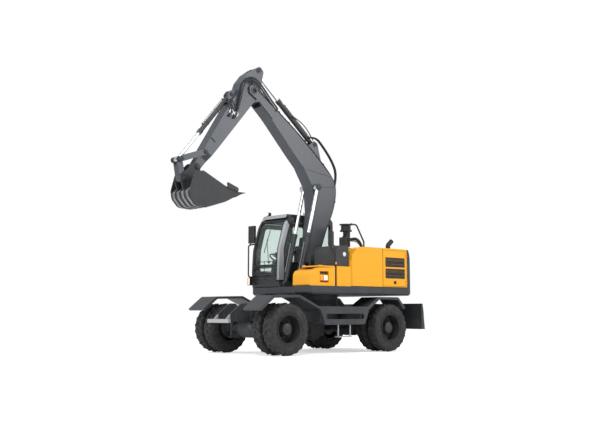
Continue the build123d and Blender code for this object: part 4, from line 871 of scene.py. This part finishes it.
armBase = footPin + Vector((-0.095, 0, 2.535))
boomEye = footPin + Vector((-0.040, 0, 1.575))
boomBase = Vector((slewX + 0.610, 0, 1.440))
armTail = onArm(-0.448, 0.166, 0)
bucketBase = onArm(0.445, 0.318, 0)
linkTop = onArm(2.355, 0.375, 0)
linkFoot = nosePin + Vector((0.315, 0, -0.260))
pinTable = (
    # name, middle, y of its face on each side, radius, body and slot
    ("foot", footPin, 0.218, 0.072, "upper", "dark_paint"),
    ("base", boomBase, 0.285, 0.050, "upper", "dark_paint"),
    ("tip", tipPin, 0.167, 0.062, "boom", "boom_paint"),
    ("eye", boomEye, 0.256, 0.076, "boom", "boom_paint"),
    ("armBase", armBase, 0.087, 0.050, "boom", "boom_paint"),
    ("tail", armTail, 0.135, 0.052, "arm", "boom_paint"),
    ("bucketBase", bucketBase, 0.081, 0.044, "arm", "boom_paint"),
    ("rocker", onArm(1.863, 0.061, 0), 0.167, 0.044, "arm", "boom_paint"),
    ("linkTop", linkTop, 0.163, 0.044, "rocker", "boom_paint"),
    ("nose", nosePin, 0.126, 0.052, "bucket", "bucket_steel"),
    ("linkFoot", linkFoot, 0.126, 0.044, "bucket", "bucket_steel"),
)
for label, centre, y, radius, body, slotName in pinTable:
    caps = makePinCap(centre, -y, radius) + makePinCap(centre, y, radius)
    finish(caps, "pinCaps_" + label, "frameDark", body, 35)
print("pins and plates made")


# Cylinders: gland ring with its bolts, port blocks and the pipe beside the barrel
cylinderUser = {
    "gland": (0.006, 0.004, 0.004),  # behind the barrel's end, past it, thinner
    "collarBack": 0.080, "collar": (0.006, 0.004),  # wider than the barrel, thick
    "bolts": 6, "boltBack": 0.001, "boltIn": 0.008, "boltSize": 0.006,
    "portStart": 0.20, "port": (-0.010, 0.030), "portRadius": 0.017,
    "pipeOut": 0.022, "pipeStart": 0.24, "pipeBend": 0.03, "pipeRadius": 0.0085, "pipeEnd": 0.9,
    "strapsAt": (0.42, 0.74), "strap": (0.003, 0.005),  # shares of the length; wider, thick
}
cylinderTable = (
    # body, pins at both ends, y of each, length and radius of the barrel, where the pipe ends
    ("boom_barrels", boomBase, boomEye, (-0.215, 0.215), 1.100, 0.052, 0.90),
    ("arm_barrel", armBase, armTail, (0.0,), 1.310, 0.055, 1.10),
    ("bucket_barrel", bucketBase, linkTop, (0.0,), 1.160, 0.046, 0.95),
)
for body, base, eye, sides, length, radius, pipeEnd in cylinderTable:
    user = cylinderUser
    way = (eye - base).normalized()
    out = Vector((-way.z, 0, way.x)) if body != "boom_barrels" else Vector((way.z, 0, -way.x))
    metal, dark = [], []
    for y in sides:
        start = base + Vector((0, y, 0))
        back, past, thinner = user["gland"]
        metal.append(addRod(start + way * (length - back), start + way * (length + past),
                            radius - thinner, 0.002, 28))
        wider, thick = user["collar"]
        dark.append(addRing(start + way * (length - user["collarBack"]), way, radius + wider,
                            thick, 32, 8))
        for i in range(user["bolts"]):
            angle = math.tau / user["bolts"] * i
            side = out * math.cos(angle) + Vector((0, math.sin(angle), 0))
            spot = start + way * (length - user["boltBack"]) + side * (radius - user["boltIn"])
            dark.append(addBolt(spot, way, user["boltSize"]))
        offset = out * (radius + user["pipeOut"])
        low, high = user["port"]
        for along in (user["portStart"], pipeEnd):
            dark.append(addRod(start + way * along + out * (radius + low),
                               start + way * along + out * (radius + high),
                               user["portRadius"], 0.003, 12))
        metal.append(addTube([start + way * user["pipeStart"] + offset,
                              start + way * (pipeEnd - user["pipeBend"]) + offset,
                              start + way * pipeEnd + offset * user["pipeEnd"]],
                             user["pipeRadius"]))
        wider, thick = user["strap"]
        for share in user["strapsAt"]:
            dark.append(addRing(start + way * (length * share), way, radius + wider, thick, 28, 8))
    finish(metal, "cylinderPipes_" + body, "pipeGrey", body, 40)
    finish(dark, "cylinderFittings_" + body, "frameDark", body, 40)
print("cylinder fittings made")


# Bucket: worn strips round its back, worn edge and tooth adapters, from the nose pin
bucketUser = {
    "back": ((0.225, -0.423, 0.0), (0.320, -0.503, 0.06), (0.293, -0.622, 0.12),
             (0.148, -0.777, 0.15), (-0.104, -0.795, 0.15), (-0.565, -0.648, 0.20),
             (-0.780, -0.533, 0.0)),
    "stripsAt": (-0.225, -0.075, 0.075, 0.225), "stripHalf": 0.032, "stripThick": 0.010,
    "edge": ((-0.760, -0.542), (-0.870, -0.483), (-0.868, -0.470), (-0.755, -0.528)),
    "edgeHalf": 0.338,
    "teeth": 5, "wide": 0.680, "toothWide": 0.074,
    "adapter": ((-0.905, -0.476), (-0.900, -0.446), (-0.770, -0.440), (-0.700, -0.468),
                (-0.705, -0.566), (-0.770, -0.546)),
    "adapterHalf": 0.043, "adapterEdge": 0.006,
    "pin": (-0.868, -0.462), "pinHalf": 0.046, "pinRadius": 0.010,
}


def onBucket(rows):
    return [(nosePin.x + x, nosePin.z + z) for x, z in rows]


strips = []
for y in bucketUser["stripsAt"]:
    line = onBucket(roundedLine(bucketUser["back"], steps=8))
    strips.append(addRibbon(line, y - bucketUser["stripHalf"], y + bucketUser["stripHalf"],
                            bucketUser["stripThick"]))
strips.append(addPrism(onBucket(bucketUser["edge"]), -bucketUser["edgeHalf"],
                       bucketUser["edgeHalf"], 0.002))
finish(strips, "bucketWearStrips", "wornSteel", "bucket", 35)
adapters = []
pinX, pinZ = bucketUser["pin"]
for i in range(bucketUser["teeth"]):
    gaps = bucketUser["teeth"] - 1
    y = (i - gaps // 2) * (bucketUser["wide"] - bucketUser["toothWide"]) / gaps
    adapters.append(addPrism(onBucket(bucketUser["adapter"]), y - bucketUser["adapterHalf"],
                             y + bucketUser["adapterHalf"], bucketUser["adapterEdge"]))
    adapters.append(addRod((nosePin.x + pinX, y - bucketUser["pinHalf"], nosePin.z + pinZ),
                           (nosePin.x + pinX, y + bucketUser["pinHalf"], nosePin.z + pinZ),
                           bucketUser["pinRadius"], 0.002, 12))
finish(adapters, "toothAdapters", "bucketDark", "bucket", 30)
print("bucket made")


# Hood doors: louvred grilles in a frame, and a latch; x is taken from the slewing axis
grilleUser = {
    "x": (-1.640, -1.050), "rows": ((1.570, 1.750), (1.815, 1.990)), "slats": 7,
    "sunk": 0.001, "proud": 0.004, "frame": 0.014,
    "slatSunk": 0.002, "slatProud": 0.006, "slatLip": 0.004, "slatShare": 0.8,
    "latch": ((-1.372, 1.438), (-1.298, 1.502)), "latchProud": 0.009,
    "lock": (-1.350, 1.470), "lockY": (0.008, 0.013), "lockRadius": 0.010,
}
swapXY = Matrix(((0, 1, 0, 0), (1, 0, 0, 0), (0, 0, 1, 0), (0, 0, 0, 1)))
rear, front = (slewX + x for x in grilleUser["x"])
grille = []
for low, high in grilleUser["rows"]:
    edge = grilleUser["frame"]
    bars = ((rear - edge, front + edge, low - edge, low),
            (rear - edge, front + edge, high, high + edge),
            (rear - edge, rear, low, high), (front, front + edge, low, high))
    for left, right, bottom, top in bars:
        grille.append(addBlock((left, hoodHalf - grilleUser["sunk"], bottom),
                               (right, hoodHalf + grilleUser["proud"], top), 0.002, 1))
    step = (high - low) / grilleUser["slats"]
    inner, outer = hoodHalf - grilleUser["slatSunk"], hoodHalf + grilleUser["slatProud"]
    for i in range(grilleUser["slats"]):
        z = low + step * i
        slope = ((inner, z), (outer, z), (outer, z + grilleUser["slatLip"]),
                 (inner, z + step * grilleUser["slatShare"]))
        slat = addPrism(slope, rear, front, 0.001)
        slat.data.transform(swapXY)
        turnOutwards(slat)
        grille.append(slat)
(latchRear, latchLow), (latchFront, latchHigh) = grilleUser["latch"]
lockX, lockZ = grilleUser["lock"]
lockInner, lockOuter = grilleUser["lockY"]
latch = addBlock((slewX + latchRear, hoodHalf - grilleUser["sunk"], latchLow),
                 (slewX + latchFront, hoodHalf + grilleUser["latchProud"], latchHigh))
lock = addRod((slewX + lockX, hoodHalf + lockInner, lockZ),
              (slewX + lockX, hoodHalf + lockOuter, lockZ), grilleUser["lockRadius"], 0.001, 16)
doorTrim = joinAll(grille + [latch, lock])
farTrim = mirrorY(doorTrim)
finish([doorTrim], "grille_left", "trimBlack", "side_door_left", 30)
finish([farTrim], "grille_right", "trimBlack", "side_door_right", 30)

# Seams between the hood's panels as near-black ribbons of painted shade in the gaps, the strip
# under them, and the lid's two handles
seamUser = {
    "seams": ((-0.014, 1.365, 1.980), (-0.950, 1.365, 2.190), (-1.728, 1.365, 2.185)),
    "half": 0.004, "sunk": 0.001, "proud": 0.0012,
    "strip": ((-1.730, 1.360), (0.010, 1.372)), "stripProud": 0.004,
    "handleX": -1.10, "handlesAt": (-0.30, 0.30), "handleHalf": 0.07, "handleHigh": 0.035,
    "handleRadius": 0.007,
}
seams = []
# each seam ribbon is painted shade: a dark strip laid where the gap between two panels is shaded
for x, low, high in seamUser["seams"]:
    middle = slewX + x
    seams.append(addBlock((middle - seamUser["half"], hoodHalf - seamUser["sunk"], low),
                          (middle + seamUser["half"], hoodHalf + seamUser["proud"], high),
                          0.0004, 1))
(stripRear, stripLow), (stripFront, stripHigh) = seamUser["strip"]
seams.append(addBlock((slewX + stripRear, hoodHalf - seamUser["sunk"], stripLow),
                      (slewX + stripFront, hoodHalf + seamUser["stripProud"], stripHigh),
                      0.001, 1))
finish(seams, "hoodSeamShade", "sealBlackAndSeamShade", "upper", 30)
lidHandles = []
for y in seamUser["handlesAt"]:
    x, z = slewX + seamUser["handleX"], hoodTop + seamUser["handleHigh"]
    near, far = y - seamUser["handleHalf"], y + seamUser["handleHalf"]
    line = [(x, near, hoodTop), (x, near, z), (x, far, z), (x, far, hoodTop)]
    lidHandles.append(addTube(line, seamUser["handleRadius"]))
finish(lidHandles, "lidHandles", "trimBlack", "hood_lid", 40)

# Lamps and mirror faces: corners of each, x from the slewing axis
lampTable = (
    ("boxLampWhite", "lensWhite", (0.664, 1.128, 1.474), (0.761, 1.137, 1.566)),
    ("boxLampAmber", "lensAmber", (0.789, 1.128, 1.474), (0.856, 1.137, 1.566)),
    ("cornerLampAmber", "lensAmber", (0.850, -1.211, 1.430), (0.861, -1.178, 1.574)),
    ("cornerLampWhite", "lensWhite", (0.850, -1.174, 1.430), (0.861, -1.139, 1.574)),
    ("roofLampLens", "lensWhite", (0.405, -1.129, 2.981), (0.416, -1.041, 3.039)),
    # the reflector's amber glow is painted light, for a reflector is no lamp
    ("postReflector", "lensAmber", (0.424, 1.146, 1.800), (0.452, 1.154, 1.845)),
    ("mirrorFaceFar", "mirrorFace", (0.770, -1.205, 2.355), (0.775, -1.025, 2.705)),
    ("mirrorFaceNear", "mirrorFace", (0.573, 1.144, 2.175), (0.578, 1.224, 2.445)),
)
for label, lookName, low, high in lampTable:
    lens = addBlock((slewX + low[0], *low[1:]), (slewX + high[0], *high[1:]))
    finish([lens], label, lookName, "upper", 40)
boxFrameUser = {"x": (0.645, 0.885), "y": (1.100, 1.112), "bars": ((1.440, 1.452), (1.600, 1.640))}
boxFrame = []
for low, high in boxFrameUser["bars"]:
    corners = [(slewX + x, y, z) for x, y, z in zip(boxFrameUser["x"], boxFrameUser["y"],
                                                    (low, high))]
    boxFrame.append(addBlock(*corners, 0.002))
finish(boxFrame, "boxLampFrame", "trimBlack", "upper", 30)
print("hood and lamps made")


# Cab: window seals; outlines in x from the slewing axis, z and corner radius
sealUser = {
    "radius": 0.011, "proud": 0.001,
    "boomPane": ((-0.300, 1.900, 0.06), (0.570, 1.900, 0.06), (0.590, 2.180, 0.20),
                 (0.450, 2.640, 0.15), (0.370, 2.790, 0.06), (-0.300, 2.790, 0.06)),
    "rearPane": ((-0.790, 1.900, 0.06), (-0.420, 1.900, 0.06), (-0.420, 2.790, 0.06),
                 (-0.770, 2.790, 0.06)),
    "doorPane": ((-0.230, 1.720, 0.04), (0.530, 1.720, 0.06), (0.512, 2.180, 0.30),
                 (0.390, 2.630, 0.16), (0.330, 2.700, 0.06), (-0.230, 2.700, 0.06)),
    "screen": ((0.740, 1.450, 0), (0.740, 1.700, 0.30), (0.710, 2.180, 0.40),
               (0.565, 2.690, 0.20), (0.480, 2.845, 0)),
    "screenRows": ((1.610, 1.800), (1.850, 2.800)), "screenIn": 0.075, "screenRadius": 0.010,
    "screenSteps": 12,
}


def upLine(rows):
    return [(slewX + x, z) for x, z in rows]


def lineX(line, z, fallback=None):
    # x of a rising line at a height
    for (ax, az), (bx, bz) in zip(line, line[1:]):
        if az <= z <= bz and bz > az:
            return ax + (bx - ax) * (z - az) / (bz - az)
    return fallback


def addSeal(rows, y):
    line = upLine(roundedLine(rows, True))
    return addTube([(x, y, z) for x, z in line], sealUser["radius"], True)


frontLine = upLine(roundedLine(sealUser["screen"], steps=8))


def screenX(z):
    return lineX(frontLine, z, frontLine[-1][0])


seals = []
for pane in ("boomPane", "rearPane"):
    seals.append(addSeal(sealUser[pane], cabInnerY + sealUser["proud"]))
screenSides = (cabOuterY + sealUser["screenIn"], cabInnerY - sealUser["screenIn"])
for low, high in sealUser["screenRows"]:
    steps = sealUser["screenSteps"]
    heights = [low + (high - low) * i / steps for i in range(steps + 1)]
    ring = [(screenX(z) + sealUser["proud"], screenSides[0], z) for z in heights]
    ring += [(screenX(z) + sealUser["proud"], screenSides[1], z) for z in reversed(heights)]
    seals.append(addTube(ring, sealUser["screenRadius"], True))
finish(seals, "cabSeals", "sealBlackAndSeamShade", "upper", 40)
doorSeal = addSeal(sealUser["doorPane"], cabOuterY - sealUser["proud"])
finish([doorSeal], "doorSeal", "sealBlackAndSeamShade", "cab_door", 40)

# Light trim: the near pillar between the screen and the side pane, and the roof's edge
trimUser = {
    "pillarZ": (1.52, 2.80), "pillarSteps": 14, "pillarProud": 0.005, "pillarGap": 0.018,
    "pillarY": (0.012, 0.005),
    "paneFront": ((0.570, 1.500, 0), (0.570, 1.900, 0.06), (0.590, 2.180, 0.20),
                  (0.450, 2.640, 0.15), (0.390, 2.800, 0)),
    "roof": ((0.508, 2.874), (0.446, 2.957), (-0.700, 2.957), (-0.700, 2.949), (0.441, 2.949),
             (0.501, 2.874)),
    "roofIn": 0.060,
}
low, high = trimUser["pillarZ"]
steps = trimUser["pillarSteps"]
pillarHeights = [low + (high - low) * i / steps for i in range(steps + 1)]
pillarLine = [(screenX(z) + trimUser["pillarProud"], z) for z in pillarHeights]
paneFront = upLine(roundedLine(trimUser["paneFront"], steps=6))
for z in reversed(pillarHeights):
    x = lineX(paneFront, z)
    if x is not None:
        pillarLine.append((x + trimUser["pillarGap"], z))
pillar = addPrism(pillarLine, screenSides[1] + trimUser["pillarY"][0],
                  cabInnerY + trimUser["pillarY"][1])
roofEdge = addPrism(upLine(trimUser["roof"]), cabOuterY + trimUser["roofIn"],
                    cabInnerY - trimUser["roofIn"], 0.001)
finish([pillar, roofEdge], "cabLightTrim", "pillarSilver", "upper", 35)

# Wiper on the screen, and a stub on the roof
wiperUser = {
    # off the screen, y and z at each end, radius, edge and sides
    "rods": (((0.020, -0.62, 1.90), (0.022, -0.78, 2.42), 0.007, 0.001, 10),
             ((0.012, -0.80, 2.12), (0.014, -0.74, 2.62), 0.008, 0.001, 8),
             ((-0.005, -0.62, 1.90), (0.030, -0.62, 1.90), 0.018, 0.003, 16)),
    "stub": (-0.10, -0.42), "stubZ": (2.949, 3.030), "stubRadius": 0.010,
}
wiper = []
for start, end, radius, edge, sides in wiperUser["rods"]:
    low, high = ((screenX(z) + off, y, z) for off, y, z in (start, end))
    wiper.append(addRod(low, high, radius, edge, sides))
finish(wiper, "wiper", "trimBlack", "upper", 40)
stubX, stubY = wiperUser["stub"]
low, high = ((slewX + stubX, stubY, z) for z in wiperUser["stubZ"])
roofStub = addRod(low, high, wiperUser["stubRadius"], 0.002, 12)
finish([roofStub], "roofStub", "trimBlack", "upper", 40)
print("cab trim made")


# Air intake hose with its rings, beside the filter pot
intakeUser = {
    "line": ((-0.330, 0.640, 2.330), (-0.440, 0.720, 2.400), (-0.590, 0.800, 2.390),
             (-0.660, 0.820, 2.205)),
    "radius": 0.032, "rings": 14, "ringThick": 0.0055,
}
intakeLine = [(slewX + x, y, z) for x, y, z in intakeUser["line"]]
intakeParts = [addHose(intakeLine, intakeUser["radius"])]
spots = [Vector(point) for point in intakeLine]
for i in range(intakeUser["rings"]):
    t = (i + 0.5) / intakeUser["rings"]
    place = (spots[0] * (1 - t) ** 3 + spots[1] * 3 * t * (1 - t) ** 2
             + spots[2] * 3 * t * t * (1 - t) + spots[3] * t ** 3)
    way = ((spots[1] - spots[0]) * (1 - t) ** 2 + (spots[2] - spots[1]) * 2 * t * (1 - t)
           + (spots[3] - spots[2]) * t * t)
    intakeParts.append(addRing(place, way, intakeUser["radius"], intakeUser["ringThick"], 20, 6))
finish(intakeParts, "intakeHose", "hoseBlack", "upper", 40)

# Round gauge on the tank's near side
gaugeUser = {"x": 0.150, "down": 0.200, "y": (-0.001, 0.007), "radius": 0.045}
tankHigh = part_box("side_tank")[1]
low, high = ((slewX + gaugeUser["x"], tankHigh[1] + y, tankHigh[2] - gaugeUser["down"])
             for y in gaugeUser["y"])
gauge = addRod(low, high, gaugeUser["radius"], 0.003, 32)
finish([gauge], "tankGauge", "fittingWhite", "upper", 30)
print("hood fittings made")


# Chassis: bolts on the skirts, ribs on the step and bolts along the blade
chassisUser = {
    "skirtY": 1.1655, "boltSize": 0.010,
    "bolts": (((-1.62, -1.24, 1.22, 1.68), 1.130), ((-0.62, -0.10, 0.40), 0.905)),
    "ribs": 9, "ribStep": 0.075, "ribHalf": 0.008, "ribX": (2.178, 2.222), "ribZ": (0.700, 0.704),
    "bladeBolts": 10, "bladeIn": 0.12, "bladeSunk": 0.004, "bladeUp": 0.055,
    "bladeBoltSize": 0.011,
}
skirtBolts = []
for places, z in chassisUser["bolts"]:
    for x in places:
        spot = (axleMidX + x, chassisUser["skirtY"], z)
        skirtBolts.append(addBolt(spot, (0, 1, 0), chassisUser["boltSize"]))
nearBolts = joinAll(skirtBolts)
farBolts = mirrorY(nearBolts)
finish([nearBolts, farBolts], "skirtBolts", "frameDark", "chassis", 30)
treads = []
(ribRear, ribFront), (ribLow, ribHigh) = chassisUser["ribX"], chassisUser["ribZ"]
for i in range(chassisUser["ribs"]):
    y = chassisUser["ribStep"] * (i - chassisUser["ribs"] // 2)
    treads.append(addBlock((axleMidX + ribRear, y - chassisUser["ribHalf"], ribLow),
                           (axleMidX + ribFront, y + chassisUser["ribHalf"], ribHigh), 0.001, 1))
finish(treads, "stepRibs", "barLight", "chassis", 30)
bladeLow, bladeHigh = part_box("blade")
bladeBolts = []
for i in range(chassisUser["bladeBolts"]):
    run = bladeHigh[1] - bladeLow[1] - 2 * chassisUser["bladeIn"]
    y = bladeLow[1] + chassisUser["bladeIn"] + run * i / (chassisUser["bladeBolts"] - 1)
    spot = (bladeLow[0] + chassisUser["bladeSunk"], y, bladeLow[2] + chassisUser["bladeUp"])
    bladeBolts.append(addBolt(spot, (-1, 0, 0), chassisUser["bladeBoltSize"]))
finish(bladeBolts, "bladeBolts", "wornSteel", "blade", 30)
print("chassis fittings made")
